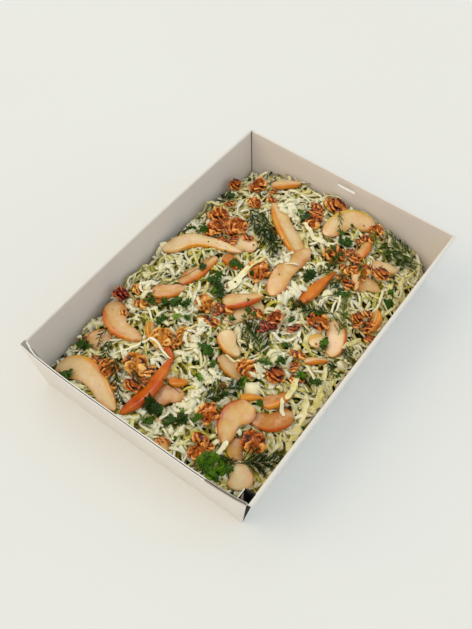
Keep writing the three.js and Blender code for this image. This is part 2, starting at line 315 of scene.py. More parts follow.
def put_points(piece, points):
    piece.data.vertices.foreach_set("co", points.ravel())
    piece.data.update()


def give_finish(piece, slot, test):
    """Gives the faces that pass a test another of the piece's materials."""
    with editing(piece, "FACE"):
        count = pick(piece, "faces", test)
        piece.active_material_index = slot
        bpy.ops.object.material_slot_assign()
    return count


def settle(piece):
    """Puts a piece's place, turn and size into its mesh, as the frame's own nodes have them."""
    only(piece)
    bpy.ops.object.transform_apply(location=True, rotation=True, scale=True)


def on_record(piece, slot, *nodes):
    """Hangs a piece under the root body and hides the frame's nodes it stands for; slot is not used."""
    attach(piece, "root")
    if nodes:
        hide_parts(*nodes)


print("helpers: the table is read as", len(read_points(table_top)), "points")

# %% [markdown]
# ## The tray
# The tray is folded from one sheet of white paperboard. The frame already has every board, slit and flap
# at its real size, with knife-sharp edges. Real board is rounded where it is folded and a little where it
# is cut, and light catches on those edges. So a copy of the frame's tray is merged into one shell, its
# flat faces are joined, and a fine bevel goes round every edge. On the far and left walls the inner faces
# are painted a little darker and warmer: painted shade inside the tray, and painted light thrown back
# from the salad.

# %% Paperboard
fibre_size, fibre_relief = 0.0015, 0.00004

board_finish = clouded("white_paperboard", (226, 219, 210), (232, 226, 218), 0.06, Roughness=0.62)
# Inner walls: the same board with painted shade and a warm painted bounce from the salad.
inner_painted_shade_finish = clouded("inner_paperboard_painted_shade", (218, 208, 200), (224, 214, 206), 0.06, Roughness=0.7)
for finish in (board_finish, inner_painted_shade_finish):
    finish.emboss(finish.grain(fibre_size, 3.0), fibre_relief)
print("paperboard:", len(board_finish.tree.nodes), "nodes on each side")

# %% [markdown]
# The board's cut edges are bare grey pulp, and they show on top of the near wall. The slit in the near
# wall, the pocket behind the folded flap and the corner seam that has split open get a near-black finish:
# painted shade, for the deep shade in those narrow gaps. The finger slot's edges get a near-white finish,
# which is painted light from the bright room seen through the slot. The faces there are found by where
# they lie, so each place gets a test. Depths are counted from the near wall's outer face, which leans out
# with height.

# %% Cut edges, painted shade and painted light
rim_height = cad_high.z
outside_near = cad_low.y
wall_height, wall_lean = 0.070, 0.0086
board_thickness = 0.0012
flap_depth = 0.012
flap_face = outside_near + flap_depth
pocket_side = 0.1105
pocket_near, pocket_far = 0.0028, flap_depth + 0.0013
pocket_low, pocket_high = 0.0008, rim_height - 0.0005
slit_near, slit_far = 0.0011, 0.0021
seam_foot, seam_depth, seam_width = 0.006, 0.0017, 0.0045
wall_top_start, wall_top_end, wall_top_depth = 0.077, 0.1215, 0.0075
slot_reach, slot_low, slot_high = 0.0125, 0.0585, 0.0622
far_inside, left_inside, above_floor = 0.160, -0.108, 0.002
below_rim = rim_height - 0.0003

# Near-black finish for the slit, the pocket and the seam: painted shade for the deep shade in those gaps.
painted_shade_finish = clouded("board_painted_shade", (38, 37, 36), (64, 62, 59), 0.0022, 3.0,
                      Roughness=0.95, Specular_IOR_Level=0.2)
cut_finish = clouded("cut_board_edge", (146, 136, 126), (182, 172, 160), 0.003, 3.0, Roughness=0.9)
# Near-white finish for the finger slot's inner faces: painted light, for the bright room seen through the
# slot.
slot_painted_light_finish = clouded("slot_board_painted_light", (246, 243, 236), (252, 250, 244), 0.003, Roughness=0.7)


def lean_at(height):
    """How far a wall stands in from the rim's outline at this height."""
    return wall_lean * (1 - height / wall_height)


def depth_in_near_wall(point):
    return point.y - outside_near - lean_at(point.z)


def is_in_pocket(face):
    centre = face.calc_center_median()
    beside_wall = pocket_side < centre.x < cad_high.x - board_thickness - lean_at(centre.z)
    behind_flap = pocket_near < depth_in_near_wall(centre) < pocket_far
    within = beside_wall and behind_flap and pocket_low < centre.z < pocket_high
    return within and face.normal.y < 0.5


def is_in_slit(face):
    centre = face.calc_center_median()
    between = slit_near < depth_in_near_wall(centre) < slit_far
    return between and centre.z < below_rim and abs(face.normal.y) > 0.5


def is_in_seam(face):
    centre = face.calc_center_median()
    inward = cad_high.x - lean_at(centre.z) - centre.x
    close = depth_in_near_wall(centre) < seam_depth and seam_foot < centre.z
    return close and 0.0002 < inward < seam_width and abs(face.normal.x) > 0.5


def is_near_top(face):
    centre = face.calc_center_median()
    near_end = depth_in_near_wall(centre) < wall_top_depth and wall_top_start < centre.x < wall_top_end
    return near_end and centre.z > below_rim and face.normal.z > 0.9


def is_shaded_inside(face):
    centre = face.calc_center_median()
    on_far_wall = centre.y > far_inside and face.normal.y < -0.7
    on_left_wall = centre.x < left_inside and face.normal.x > 0.7
    return centre.z > above_floor and (on_far_wall or on_left_wall)


def is_in_slot(face):
    centre = face.calc_center_median()
    in_opening = abs(centre.x) < slot_reach and slot_low < centre.z < slot_high
    return in_opening and centre.y > far_inside and abs(face.normal.y) < 0.5


print("bare board: the pocket starts", pocket_side, "m to the side and", flap_depth, "m deep")

# %% [markdown]
# The full tray pushes its walls outwards. Three of them flare by two to eight millimetres at the rim,
# and the near one bows: by several millimetres at the rim, hardly at all at the base and corners. The
# long flat faces of a wall can only bend where they have points, so bisects cut them every few
# centimetres. The folded flap hangs a little lower at its free end, which is moved down in edit mode.

# %% Tray
near_bow, bow_reach, bowed_depth = 0.0052, 0.128, 0.0082
right_flare = 0.0020
left_flare_ends, left_flare_middle = 0.0052, 0.0026
far_flare, far_flare_slope = 0.0045, 0.0120
side_start, far_start, flare_ramp = 0.100, 0.153, 0.012
flap_droop, flap_droops_above = 0.005, 0.067
flap_middle, flap_start, flap_end = flap_face + 0.0004, pocket_side + 0.0002, 0.1135
cut_spacing_across, cut_spacing_along = 0.014, 0.021
bevel_width = 0.00022


def bow_at(x, z):
    """How far the near wall stands out at this place."""
    return near_bow * (1 - np.abs(x / bow_reach) ** 6) * np.clip(z / rim_height, 0, 1)


def bow_near_wall(piece):
    points = read_points(piece)
    depth = points[:, 1] - outside_near - lean_at(points[:, 2])
    points[:, 1] -= np.where(depth < bowed_depth, bow_at(points[:, 0], points[:, 2]), 0)
    put_points(piece, points)


def flare_walls(piece):
    """Moves the rims of the other three walls out, and less the lower a point lies."""
    points = read_points(piece)
    x, y = points[:, 0].copy(), points[:, 1].copy()
    up = np.clip(points[:, 2] / rim_height, 0, 1)
    right, left = (np.clip((side * x - side_start) / flare_ramp, 0, 1) for side in (1, -1))
    far = np.clip((y - far_start) / flare_ramp, 0, 1)
    left_flare = left_flare_ends + left_flare_middle * (1 - (y / cad_high.y) ** 2)
    points[:, 0] += up * (right_flare * right - left_flare * left)
    points[:, 1] += up * far * (far_flare + far_flare_slope * x)
    put_points(piece, points)


def is_flap_end(vertex):
    in_flap = abs(vertex.co.y - flap_middle) < board_thickness
    return in_flap and flap_start < vertex.co.x < flap_end and vertex.co.z > flap_droops_above


tray = bpy.data.objects.new("paperboard_tray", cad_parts["tray"].data.copy())
bpy.context.scene.collection.objects.link(tray)
tray.data.materials.clear()
for finish in (board_finish, painted_shade_finish, cut_finish, slot_painted_light_finish, inner_painted_shade_finish):
    tray.data.materials.append(finish.material)
cuts = [((0, flap_face, 0), (0, 1, 0)), ((pocket_side, 0, 0), (1, 0, 0))]
cuts += [((step * cut_spacing_across, 0, 0), (1, 0, 0)) for step in range(-8, 9)]
cuts += [((0, step * cut_spacing_along, 0), (0, 1, 0)) for step in range(-7, 8)]
with editing(tray, "VERT"):
    bpy.ops.mesh.select_all(action="SELECT")
    bpy.ops.mesh.remove_doubles(threshold=0.00002)
    bpy.ops.mesh.dissolve_limited(angle_limit=math.radians(0.5))
    for plane, normal in cuts:
        bpy.ops.mesh.select_all(action="SELECT")
        bpy.ops.mesh.bisect(plane_co=plane, plane_no=normal)
    pick(tray, "verts", is_flap_end)
    bpy.ops.transform.translate(value=(0, 0, -flap_droop))
apply_modifier(tray, "BEVEL", width=bevel_width, segments=2, limit_method="ANGLE",
               angle_limit=math.radians(35))
# Slot 1 is painted shade, slot 3 is painted light and slot 4 is painted shade on the inner walls.
for slot, test in ((1, is_in_pocket), (1, is_in_slit), (1, is_in_seam), (2, is_near_top),
                   (4, is_shaded_inside), (3, is_in_slot)):
    print(test.__name__, give_finish(tray, slot, test), "faces")
bow_near_wall(tray)
flare_walls(tray)
only(tray)
bpy.ops.object.shade_smooth_by_angle(angle=math.radians(50))
on_record(tray, "paperboard", "tray")
print("tray:", len(tray.data.polygons), "faces")

# %% [markdown]
# Three small parts of the folding show at the corners. At the near left one the inner board swings away
# from the outer one, and the folded web between them is a narrow wedge just below the rim, painted grey
# for the shade it stands in; its pleats are its own. At the near right one a board runs from the flap's
# end to the near wall, and its face towards the pocket has the near-black painted shade, so that the
# pocket is a dark well. At the far left one the two walls don't quite meet, and a thin dark brown strip
# stands in the gap as a painted shadow line. All three are cubes whose feet are moved so that they lean
# with the walls. The web is cut into four, and its end is drawn in almost to an edge.

# %% Web, pocket side and open corner
def leaning_board(name, low, high, finish, lean_x, lean_y, divisions=1):
    """A board between two corners, whose foot is moved in by the walls' lean."""
    low, high = Vector(low), Vector(high)
    made = start_from(bpy.ops.mesh.primitive_cube_add, size=1)
    made.name = name
    made.scale = high - low
    made.location = (low + high) / 2
    settle(made)
    with editing(made, "FACE"):
        pick(made, "faces", lambda face: face.normal.z < -0.9)
        foot = lean_at(low.z) - lean_at(high.z)
        bpy.ops.transform.translate(value=(lean_x * foot, lean_y * foot, 0))
    if divisions > 1:
        with editing(made, "EDGE"):
            pick(made, "edges", runs_along(0, 0.01))
            bpy.ops.mesh.subdivide(number_cuts=divisions - 1)
    made.data.materials.append(finish.material)
    on_record(made, "paperboard")
    return made


web_painted_shade_finish = Finish("folded_web_painted_shade", Roughness=0.85)
pleats = web_painted_shade_finish.node("ShaderNodeTexWave", {"bands_direction": "X"}, {
    "Vector": web_painted_shade_finish.place(), "Scale": 480.0, "Distortion": 1.5, "Detail": 2.0,
})
# The web's grey is painted shade for the shadowed fold; the pleats are its own relief.
web_painted_shade_finish.paint(web_painted_shade_finish.mix(pleats, colour(140, 136, 130), colour(190, 186, 180)))
web_painted_shade_finish.emboss(pleats, 0.0003)

near_board = outside_near + 0.0013
web_start, web_end = cad_low.x + 0.0010, cad_low.x + 0.0185
web_foot, web_top = 0.0013, rim_height - 0.0010
web_width, web_end_share = 0.0049, 0.08
web_parts = 4
web = leaning_board("corner_web", (web_start, near_board, web_foot),
                    (web_end, near_board + web_width, web_top), web_painted_shade_finish, 1, 1, web_parts)
with editing(web, "VERT"):
    pick(web, "verts", lambda vertex: vertex.co.x > web_end - 0.0001 and vertex.co.z > web_top / 2)
    bpy.ops.transform.resize(value=(1, web_end_share, 1), center_override=(0, near_board, 0))
bow_near_wall(web)
flare_walls(web)
web.data.materials.append(board_finish.material)
give_finish(web, 1, lambda face: face.normal.x < -0.5)

side_low = (0.1112, outside_near + 0.0034, 0.030)
side_high = (0.1121, flap_face + 0.0006, 0.0638)
pocket_board = leaning_board("pocket_side", side_low, side_high, board_finish, -0.9, 0.3)
# The face towards the pocket gets the near-black painted shade.
pocket_board.data.materials.append(painted_shade_finish.material)
give_finish(pocket_board, 1, lambda face: face.normal.x > 0.7)
flare_walls(pocket_board)

# A thin dark strip in the far left corner: painted shadow for the gap where the walls don't quite meet.
painted_shadow_finish = clouded("open_corner_painted_shadow", (70, 60, 50), (96, 84, 72), 0.004, Roughness=0.95)
line_low, line_high = (-0.1228, 0.1764, 0.0015), (-0.1217, 0.1773, 0.0692)
corner_line = leaning_board("open_corner_shadow_strip", line_low, line_high, painted_shadow_finish, 0.97, -0.98)
flare_walls(corner_line)
print("web:", len(web.data.polygons), "faces, open corner:", len(corner_line.data.polygons), "faces")

# %% [markdown]
# ## How high the salad stands
# Everything in the tray lies on one heap, so its height is a function of the place, the same as in
# the frame: level in the middle, lower at the walls and lowest in the corners, with humps. Numpy
# works it out for thousands of places at once. The walls lean, so the inside gets wider with height.

# %% Heap and walls
crown = 0.045
side_slump, end_slump, corner_slump = 0.013, 0.002, 0.020
hump_height = 0.0022
pocket_clearance = 0.0018
inside_half_width, inside_half_length = 0.1226, 0.1768
rim_half_width, rim_half_length = cad_high.x, cad_high.y
wall_clearance = 0.0007
core_floor = 0.0018


def heap_height(x, y):
    across = np.abs(x) / inside_half_width
    along = np.abs(y) / inside_half_length
    at_walls = side_slump * across ** 5 + end_slump * along ** 5
    return crown - at_walls - corner_slump * (across * along) ** 2.2


def humps(x, y):
    x, y = x * 1000, y * 1000
    wide = np.sin(x / 8.7 + 1.4 * np.sin(y / 17)) * np.cos(y / 10.3 - 0.9 * np.sin(x / 13))
    fine = np.sin(x / 4.1 + y / 5.3) * np.cos(y / 4.7 - x / 6.1)
    return hump_height * (wide + 0.6 * fine)


def inside_limits(z):
    return (inside_half_width * (1 - lean_at(z) / rim_half_width) - wall_clearance,
            inside_half_length * (1 - lean_at(z) / rim_half_length) - wall_clearance)


def keep_in_tray(points):
    """Moves points that are past a wall or the base, or in the flap's pocket, back inside."""
    half_width, half_length = inside_limits(points[:, 2])
    points[:, 0] = np.clip(points[:, 0], -half_width, half_width)
    near_limit = -half_length - bow_at(points[:, 0], points[:, 2])
    points[:, 1] = np.clip(points[:, 1], near_limit, half_length)
    before_flap = flap_face + pocket_clearance
    in_pocket = (points[:, 0] > pocket_side) & (points[:, 1] < before_flap)
    points[:, 1] = np.where(in_pocket, before_flap, points[:, 1])
    points[:, 2] = np.maximum(points[:, 2], core_floor)
    return points


middle = np.zeros(1)
print("heap:", round(float(heap_height(middle, middle)[0]), 4), "m high in the middle")

# %% [markdown]
# Charts of the tray, in cells of a millimetre, remember what lies where. One has the undersides of
# the toppings, because the cabbage is pressed down under them. One has the top of whatever lies
# highest, so that herbs and crumbs, which fall last, land on it. The third says where there is a
# topping at all: fine scraps slide off a wet slice of pear, so few of them are put there.

# %% Charts
chart_cell = 0.001
chart_columns, chart_rows = 252, 360


def chart_index(x, y):
    column = np.clip(((x + rim_half_width) / chart_cell).astype(int), 0, chart_columns - 1)
    row = np.clip(((y + rim_half_length) / chart_cell).astype(int), 0, chart_rows - 1)
    return column, row


cell_x, cell_y = np.meshgrid(
    (np.arange(chart_columns) + 0.5) * chart_cell - rim_half_width,
    (np.arange(chart_rows) + 0.5) * chart_cell - rim_half_length, indexing="ij",
)
underside = np.full((chart_columns, chart_rows), 1.0)
topside = heap_height(cell_x, cell_y) + humps(cell_x, cell_y)
on_topping = np.zeros((chart_columns, chart_rows), bool)


def cells_around(points):
    """The cells below the points, and then those beside them on every side."""
    for across, along in itertools.product((-chart_cell, 0, chart_cell), repeat=2):
        yield chart_index(points[:, 0] + across, points[:, 1] + along)


def chart_top(points):
    for cells in cells_around(points):
        np.maximum.at(topside, cells, points[:, 2])


def chart_topping(points):
    chart_top(points)
    for cells in cells_around(points):
        np.minimum.at(underside, cells, points[:, 2])
        on_topping[cells] = True


def softened(chart, reach):
    """The chart with every cell averaged over the cells around it, as a limp leaf would feel it."""
    shifts = list(itertools.product(range(-reach, reach + 1), repeat=2))
    return sum(np.roll(chart, shift, (0, 1)) for shift in shifts) / len(shifts)


print("charts:", chart_columns, "by", chart_rows, "cells")

# %% [markdown]
# ## Small shapes by the thousand
# A salad is thousands of small pieces. Each kind is modelled once, as a blank. A batch then takes
# copies of blanks, bent and placed, and joins them into one mesh, with values such as a piece's tint
# kept at its points for the material to read. This keeps the scene light and quick to render. A copy
# that a wall presses flat, or that a tight bend turns inside out, is no real piece and is left out.

# %% Blanks and batches
smallest_volume = 1e-12


class Blank:
    """The points and faces of a shape modelled by hand, which is then put away."""

    def __init__(self, piece):
        mesh = piece.data
        self.points = read_points(piece)
        self.corners = np.empty(len(mesh.loops), int)
        mesh.loops.foreach_get("vertex_index", self.corners)
        self.sizes = np.empty(len(mesh.polygons), int)
        mesh.polygons.foreach_get("loop_total", self.sizes)
        bpy.data.objects.remove(piece)
        first = np.repeat(np.cumsum(self.sizes) - self.sizes, self.sizes - 2)
        step = np.concatenate([np.arange(1, size - 1) for size in self.sizes])
        self.fans = self.corners[np.stack((first, first + step, first + step + 1))]

    def volume(self, points):
        """What the faces enclose in cubic metres, below zero where they are turned inside out."""
        first, second, third = (points - points.mean(axis=0))[self.fans]
        return (first * np.cross(second, third)).sum() / 6


class Batch:
    """Many bent and placed copies of blanks that become one mesh."""

    def __init__(self):
        self.points, self.corners, self.sizes, self.marks, self.count = [], [], [], {}, 0

    def add(self, blank, points, **marks):
        if blank.volume(points) < smallest_volume:
            return
        self.points.append(points)
        self.corners.append(blank.corners + self.count)
        self.sizes.append(blank.sizes)
        for name, value in marks.items():
            self.marks.setdefault(name, []).append(np.broadcast_to(value, len(points)))
        self.count += len(points)

    def piece(self, name, finish, slot, *nodes):
        points, corners, sizes = map(np.concatenate, (self.points, self.corners, self.sizes))
        mesh = bpy.data.meshes.new(name)
        mesh.vertices.add(len(points))
        mesh.vertices.foreach_set("co", points.ravel())
        mesh.loops.add(len(corners))
        mesh.loops.foreach_set("vertex_index", corners)
        mesh.polygons.add(len(sizes))
        mesh.polygons.foreach_set("loop_start", np.concatenate(([0], np.cumsum(sizes)[:-1])))
        mesh.polygons.foreach_set("use_smooth", np.ones(len(sizes), bool))
        for mark, values in self.marks.items():
            stored = mesh.attributes.new(mark, "FLOAT", "POINT")
            stored.data.foreach_set("value", np.concatenate(values).astype(np.float32))
        mesh.update(calc_edges=True)
        mesh.materials.append(finish.material)
        made = bpy.data.objects.new(name, mesh)
        bpy.context.scene.collection.objects.link(made)
        on_record(made, slot, *nodes)
        print(f"{name}: {len(self.sizes)} parts, {int((sizes - 2).sum())} triangles")
        return made


def turned_points(points, yaw=0.0, pitch=0.0, roll=0.0):
    turn = Matrix.Rotation(yaw, 3, "Z") @ Matrix.Rotation(pitch, 3, "Y") @ Matrix.Rotation(roll, 3, "X")
    return points @ np.array(turn).T


print("a batch leaves out parts under", smallest_volume * 1e9, "cubic millimetres")

# %% [markdown]
# ## Bending along a line
# Slices, strips and stems all lie along a curve over the heap. The curve is a spline through a few
# points, as a florist's wire would go. At each point of it there is a forward direction, a sideways
# one and one that stands up from the heap. A bar is modelled straight, two units long and wide, and
# its points are laid along the curve. Rolling the bar lifts one edge into the light.

# %% Splines and bars
def spline(points, share):
    """A centripetal Catmull-Rom curve through the points, run through evenly by length."""
    points = [np.asarray(point, float) for point in points]
    points = [2 * points[0] - points[1], *points, 2 * points[-1] - points[-2]]
    line = [points[1][None]]
    for a, b, c, d in zip(points, points[1:], points[2:], points[3:]):
        knots = np.cumsum([0] + [np.linalg.norm(q - p) ** 0.5 for p, q in ((a, b), (b, c), (c, d))])
        t = np.linspace(knots[1], knots[2], 16)[1:, None]

        def blend(p, q, low, high):
            gap = knots[high] - knots[low]
            return (knots[high] - t) / gap * p + (t - knots[low]) / gap * q

        first, second, third = blend(a, b, 0, 1), blend(b, c, 1, 2), blend(c, d, 2, 3)
        line.append(blend(blend(first, second, 0, 2), blend(second, third, 1, 3), 1, 2))
    line = np.concatenate(line)
    run = np.concatenate(([0], np.cumsum(np.linalg.norm(np.diff(line, axis=0), axis=1))))
    return np.stack([np.interp(share * run[-1], run, line[:, axis]) for axis in range(3)], axis=-1)


def bend(points, path, width, thick, roll=0.0, side=1, rise=0.0, neck=0.0, thin_core=1.0, over=None):
    """Lays a blank of two units each way along a path over the heap. Sizes are in metres.

    roll is one angle, or one for each point of a piece that is twisted. over is the surface that
    the whole of it follows. Without one it spans from point to point.
    """
    base = over or heap_height
    ends = [(x, y, float(base(np.array([x]), np.array([y]))[0]) + rise) for x, y in path]
    share = (1 + points[:, 0]) / 2
    centre = spline(ends, share)
    if over:
        centre[:, 2] = over(centre[:, 0], centre[:, 1]) + rise
    at = np.clip(share, 0.01, 0.99)
    forward = spline(ends, at + 0.01) - spline(ends, at - 0.01)
    forward /= np.linalg.norm(forward, axis=1)[:, None]
    sideways = np.stack((-forward[:, 1], forward[:, 0], np.zeros(len(forward))), axis=1)
    sideways /= np.linalg.norm(sideways, axis=1)[:, None]
    normal = np.cross(forward, sideways)
    roll = np.broadcast_to(roll, len(points))[:, None]
    to_skin = sideways * side * np.cos(roll) + normal * np.sin(roll)
    to_face = np.cross(forward, to_skin)
    across = points[:, 1] * (1 - neck * points[:, 0]) * width / 2
    wedge = (1 + thin_core + (1 - thin_core) * points[:, 1]) / 2
    up = points[:, 2] * wedge * thick / 2
    return centre + to_skin * across[:, None] + to_face * up[:, None]


def in_metres(line):
    return [(x * 0.001, y * 0.001) for x, y in line]


def bar_blank(rows, columns, fullness, thinnest, notch=0.0):
    """A flat bar whose cross rows are scaled, one by one, into a rounded outline.

    notch is how far one long edge is drawn in, a little off its middle.
    """
    bar = start_from(bpy.ops.mesh.primitive_cube_add, size=2)
    with editing(bar, "EDGE"):
        pick(bar, "edges", runs_along(0))
        bpy.ops.mesh.subdivide(number_cuts=rows - 1)
        pick(bar, "edges", runs_along(1))
        bpy.ops.mesh.subdivide(number_cuts=columns - 1)
    with editing(bar, "VERT"):
        for row in range(rows + 1):
            along = -1 + 2 * row / rows
            pick(bar, "verts", lambda vertex: abs(vertex.co.x - along) < 0.001)
            ring = max(1 - along ** 2, 0.012) ** (fullness / 2)
            height = thinnest + (1 - thinnest) * ring
            bpy.ops.transform.resize(value=(1, ring, height), center_override=(along, 0, 0))
        if notch:
            pick(bar, "verts", lambda vertex: vertex.co.y < -0.72 and abs(vertex.co.x - 0.15) < 0.06)
            bpy.ops.transform.translate(
                value=(0, notch, 0), use_proportional_edit=True,
                proportional_edit_falloff="SMOOTH", proportional_size=0.62,
            )
    apply_modifier(bar, "SUBSURF", levels=1, render_levels=1)
    return Blank(bar)


print("one millimetre is", in_metres([(1, 1)])[0][0], "m")

# %% [markdown]
# ## Pear slices
# A slice of pear is a soft wedge: thin at the core, thicker under the skin, broad at one end and narrow
# at the neck. The blank is a flat bar, scaled row by row into the outline of a fruit, drawn in where the
# seeds were cut out and rounded by a subdivision surface. Its flesh is cream along the middle of the
# slice and tan towards both long edges, which is painted sheen and shade for a rounded, glossy slice; it
# has fine grit and a few brown bruises. The skin goes from yellow through orange to brick red. Marks say
# how much skin shows at each point and how near the slice's outline it is, for that painted sheen and
# shade, and two more give every slice its own ripeness and blush.

# %% Pear blank and finish
pear_blank = bar_blank(22, 6, fullness=0.8, thinnest=0.35, notch=0.3)
lens_blank = bar_blank(22, 6, fullness=1.15, thinnest=0.3, notch=0.12)

pear_finish = Finish("pear", Roughness=0.30, Subsurface_Weight=0.2, Specular_IOR_Level=0.3)
pear_finish.shader.inputs["Subsurface Radius"].default_value = (0.005, 0.003, 0.0015)
blush, peel, ripe, rim = (pear_finish.mark(name) for name in ("blush", "peel", "ripe", "rim"))
cloud = pear_finish.grain(0.015, 3.0)
streak = pear_finish.grain(0.006)
grit = pear_finish.grain(0.0009)
# rim darkens the flesh towards both long edges: painted shade, with a painted sheen along the middle.
flesh = pear_finish.ramp(
    ripe + (cloud - 0.5) * 0.8 + (rim - 0.45) * 0.6 + (streak - 0.5) * 0.4,
    (0.0, (240, 214, 166)), (0.3, (231, 196, 138)),
    (0.6, (220, 169, 98)), (1.0, (196, 124, 48)),
)
flush = pear_finish.grain(0.010, 1.0).between(0.48, 0.62)
flesh = pear_finish.mix(flush * 0.4, flesh, colour(234, 190, 156))
bruises = pear_finish.grain(0.004).between(0.64, 0.74)
flesh = pear_finish.mix(bruises * 0.35, flesh, colour(170, 116, 62))
skin = pear_finish.ramp(
    blush + (cloud - 0.5) * 0.75,
    (0.0, (212, 178, 70)),
    (0.35, (226, 150, 40)),
    (0.6, (214, 110, 20)),
    (0.85, (196, 74, 8)),
    (1.0, (140, 42, 8)),
)
freckles = pear_finish.grain(0.0016, 1.0).between(0.64, 0.7)
skin = pear_finish.mix(freckles * 0.3, skin, colour(130, 70, 32))
edge = (peel + (cloud - 0.5) * 0.25).between(0.3, 0.72)
pear_finish.paint(pear_finish.mix(edge, flesh, skin))
pear_finish.emboss(grit + cloud * 2, 0.00022)
print("pear blanks:", len(pear_blank.sizes), "and", len(lens_blank.sizes), "faces")

# %% [markdown]
# Each row below is one slice: its line over the heap, width and thickness in millimetres, how far it
# is rolled, on which side its skin lies, how much it narrows to the neck, and how it looks: how much
# of its width is skin, how red the skin is and how ripe the flesh. Each is twisted a little from end
# to end, as limp slices are. The node's box has the last word on where it lies. The rows at the end
# are small and half-buried pieces that have no node.

# %% Pear slices
pear_rows = [
    # line (mm)                            width thick roll side neck  skin blush ripe
    (((-99, -128), (-95, -117), (-90, -104)), 22, 5, 0, 1, 0.25, 0.10, 0.3, 0.85),
    (((-10, -138), (0, -128), (13, -120)), 22, 5, 0, 1, 0.25, 0.12, 0.3, 1.05),
    (((-88, -48), (-77, -39), (-62, -25)), 20, 5, 4, -1, 0.25, 0.15, 0.5, 0.9),
    (((-60, 47), (-52, 60), (-36, 65)), 26, 5, 0, 1, 0.25, 0.05, 0.3, 0.45),
    (((11, 9), (3, -12), (-8, -34)), 19, 5, 0, -1, 0.25, 0.10, 0.3, 0.45),
    (((73, -124), (80, -133), (88, -141)), 18, 5, 0, -1, 0.25, 0.25, 0.2, 1.0),
    (((67, 88), (79, 97), (93, 101)), 20, 5, 0, 1, 0.25, 0.08, 0.4, 0.6),
    (((-112, -76), (-88, -97), (-57, -100)), 25, 6, 4, -1, 0.25, 0.18, 0.50, 0.75),
    (((-71, -22), (-65, 4), (-61, 28)), 17, 6, 6, -1, 0.25, 0.24, 0.55, 0.85),
    (((-56, 33), (-43, 33), (-25, 31)), 15, 6, 12, -1, 0.25, 0.30, 0.5, 1.3),
    (((-76, 148), (-62, 159), (-50, 168)), 14, 6, 10, -1, 0.25, 0.16, 0.40, 0.6),
    (((-58, 126), (-31, 106), (5, 83)), 24, 6, 12, -1, -0.35, 0.28, 0.40, 0.55),
    (((11, 92), (7, 61), (12, 18)), 24, 6, 0, -1, -0.20, 0.03, 0.2, 0.75),
    (((-22, -16), (-7, -2), (6, 15)), 20, 6, 14, -1, 0.25, 0.18, 0.75, 0.6),
    (((12, -62), (27, -68), (46, -73)), 19, 6, 8, -1, 0.25, 0.14, 0.40, 0.5),
    (((-1, -40), (12, -50), (27, -56)), 20, 6, 2, -1, 0.25, 0.10, 0.35, 0.35),
    (((38, 26), (42, 60), (47, 87)), 15, 7, 20, -1, 0.65, 0.85, 0.58, 1.2),
    (((78, 35), (89, 20), (98, -1)), 22, 6, 5, 1, 0.00, 0.14, 0.75, 0.55),
    (((50, 146), (52, 128), (53, 110)), 17, 6, 10, 1, 0.25, 0.22, 0.5, 0.8),
    (((73, 117), (82, 127), (94, 137)), 20, 6, 0, -1, 0.25, 0.06, 0.3, 0.5),
    (((104, 76), (109, 65), (111, 47)), 13, 7, 30, 1, 0.25, 0.40, 0.45, 0.8),
    (((74, -84), (82, -70), (89, -58)), 16, 6, 15, -1, 0.25, 0.30, 0.4, 1.1),
    (((88, -140), (96, -148), (103, -159)), 26, 6, 0, 1, -0.10, 0.05, 0.5, 0.30),
    (((10, 120), (21, 156), (47, 165)), 26, 6, 6, 1, 0.00, 0.18, 0.05, 0.55),
    (((74, -102), (90, -92), (101, -72)), 23, 6, 8, -1, -0.10, 0.10, 0.7, 1.15),
    (((69, -91), (62, -114), (70, -137)), 26, 6, 6, -1, 0.35, 0.14, 0.7, 0.75),
    (((-20, -171), (-15, -141), (-19, -96)), 18, 8, 30, -1, 0.40, 1.00, 0.72, 0.5),
    (((-110, -160), (-82, -153), (-27, -169)), 26, 6, 8, 1, 0.35, 0.20, 0.30, 0.50),
    (((-114, 3), (-93, 32), (-44, 45)), 20, 6, 4, -1, 0.50, 0.12, 0.30, 0.30),
]
small_pear_rows = [
    (((-8, -118), (0, -113), (8, -108)), 11, 5, 15, -1, 0.20, 0.90, 0.40, 0.6),
    (((-63, -76), (-56, -85), (-47, -94)), 10, 5, 25, -1, 0.20, 0.50, 0.45, 0.8),
    (((75, -4), (77, 3), (83, 11)), 16, 5, 0, 1, 0.10, 0.30, 0.10, 0.4),
    (((80, -23), (88, -14), (98, -6)), 9, 5, 15, -1, 0.20, 0.30, 0.50, 0.5),
    (((61, 107), (67, 93), (75, 80)), 12, 5, 10, 1, 0.20, 0.20, 0.60, 0.7),
    (((55, -91), (62, -84), (72, -79)), 9, 5, 25, -1, 0.20, 0.80, 0.35, 0.5),
    (((4, -158), (9, -157), (15, -156)), 10, 5, 10, -1, 0.20, 0.30, 0.30, 0.5),
    (((-24, 101), (-9, 91), (5, 79)), 16, 4, 6, -1, -0.20, 0.15, 0.35, 0.5),
    (((20, -168), (27, -171), (35, -172)), 11, 5, 10, 1, 0.20, 0.25, 0.50, 0.9),
    (((-47, -90), (-32, -93), (-18, -98)), 10, 5, 15, 1, 0.20, 0.60, 0.70, 1.0),
]
core_thinness = 0.35
pear_twist = 9
peel_sharpness = 3.2
small_pear_rise = 0.002


def pear_points(row, twist, rise=0.0):
    line, width, thick, roll, side, neck = row[:6]
    blank = lens_blank if thick > 6 else pear_blank
    rolled = np.radians(roll + twist * blank.points[:, 0])
    return blank, bend(blank.points, in_metres(line), width * 0.001, thick * 0.001,
                       rolled, side, rise, neck, core_thinness)


def pear_marks(blank, row):
    skin_share, blushed, ripeness = row[6:]
    along, across = blank.points[:, 0], blank.points[:, 1]
    peeled = 0.5 + ((1 + across) / 2 - (1 - skin_share)) * peel_sharpness
    outline = np.sqrt(np.maximum(1 - along ** 2, 0.01))
    rim = np.clip(np.abs(across) / outline, 0, 1) ** 2
    return {"peel": np.clip(peeled, 0, 1), "rim": rim, "blush": blushed, "ripe": ripeness}


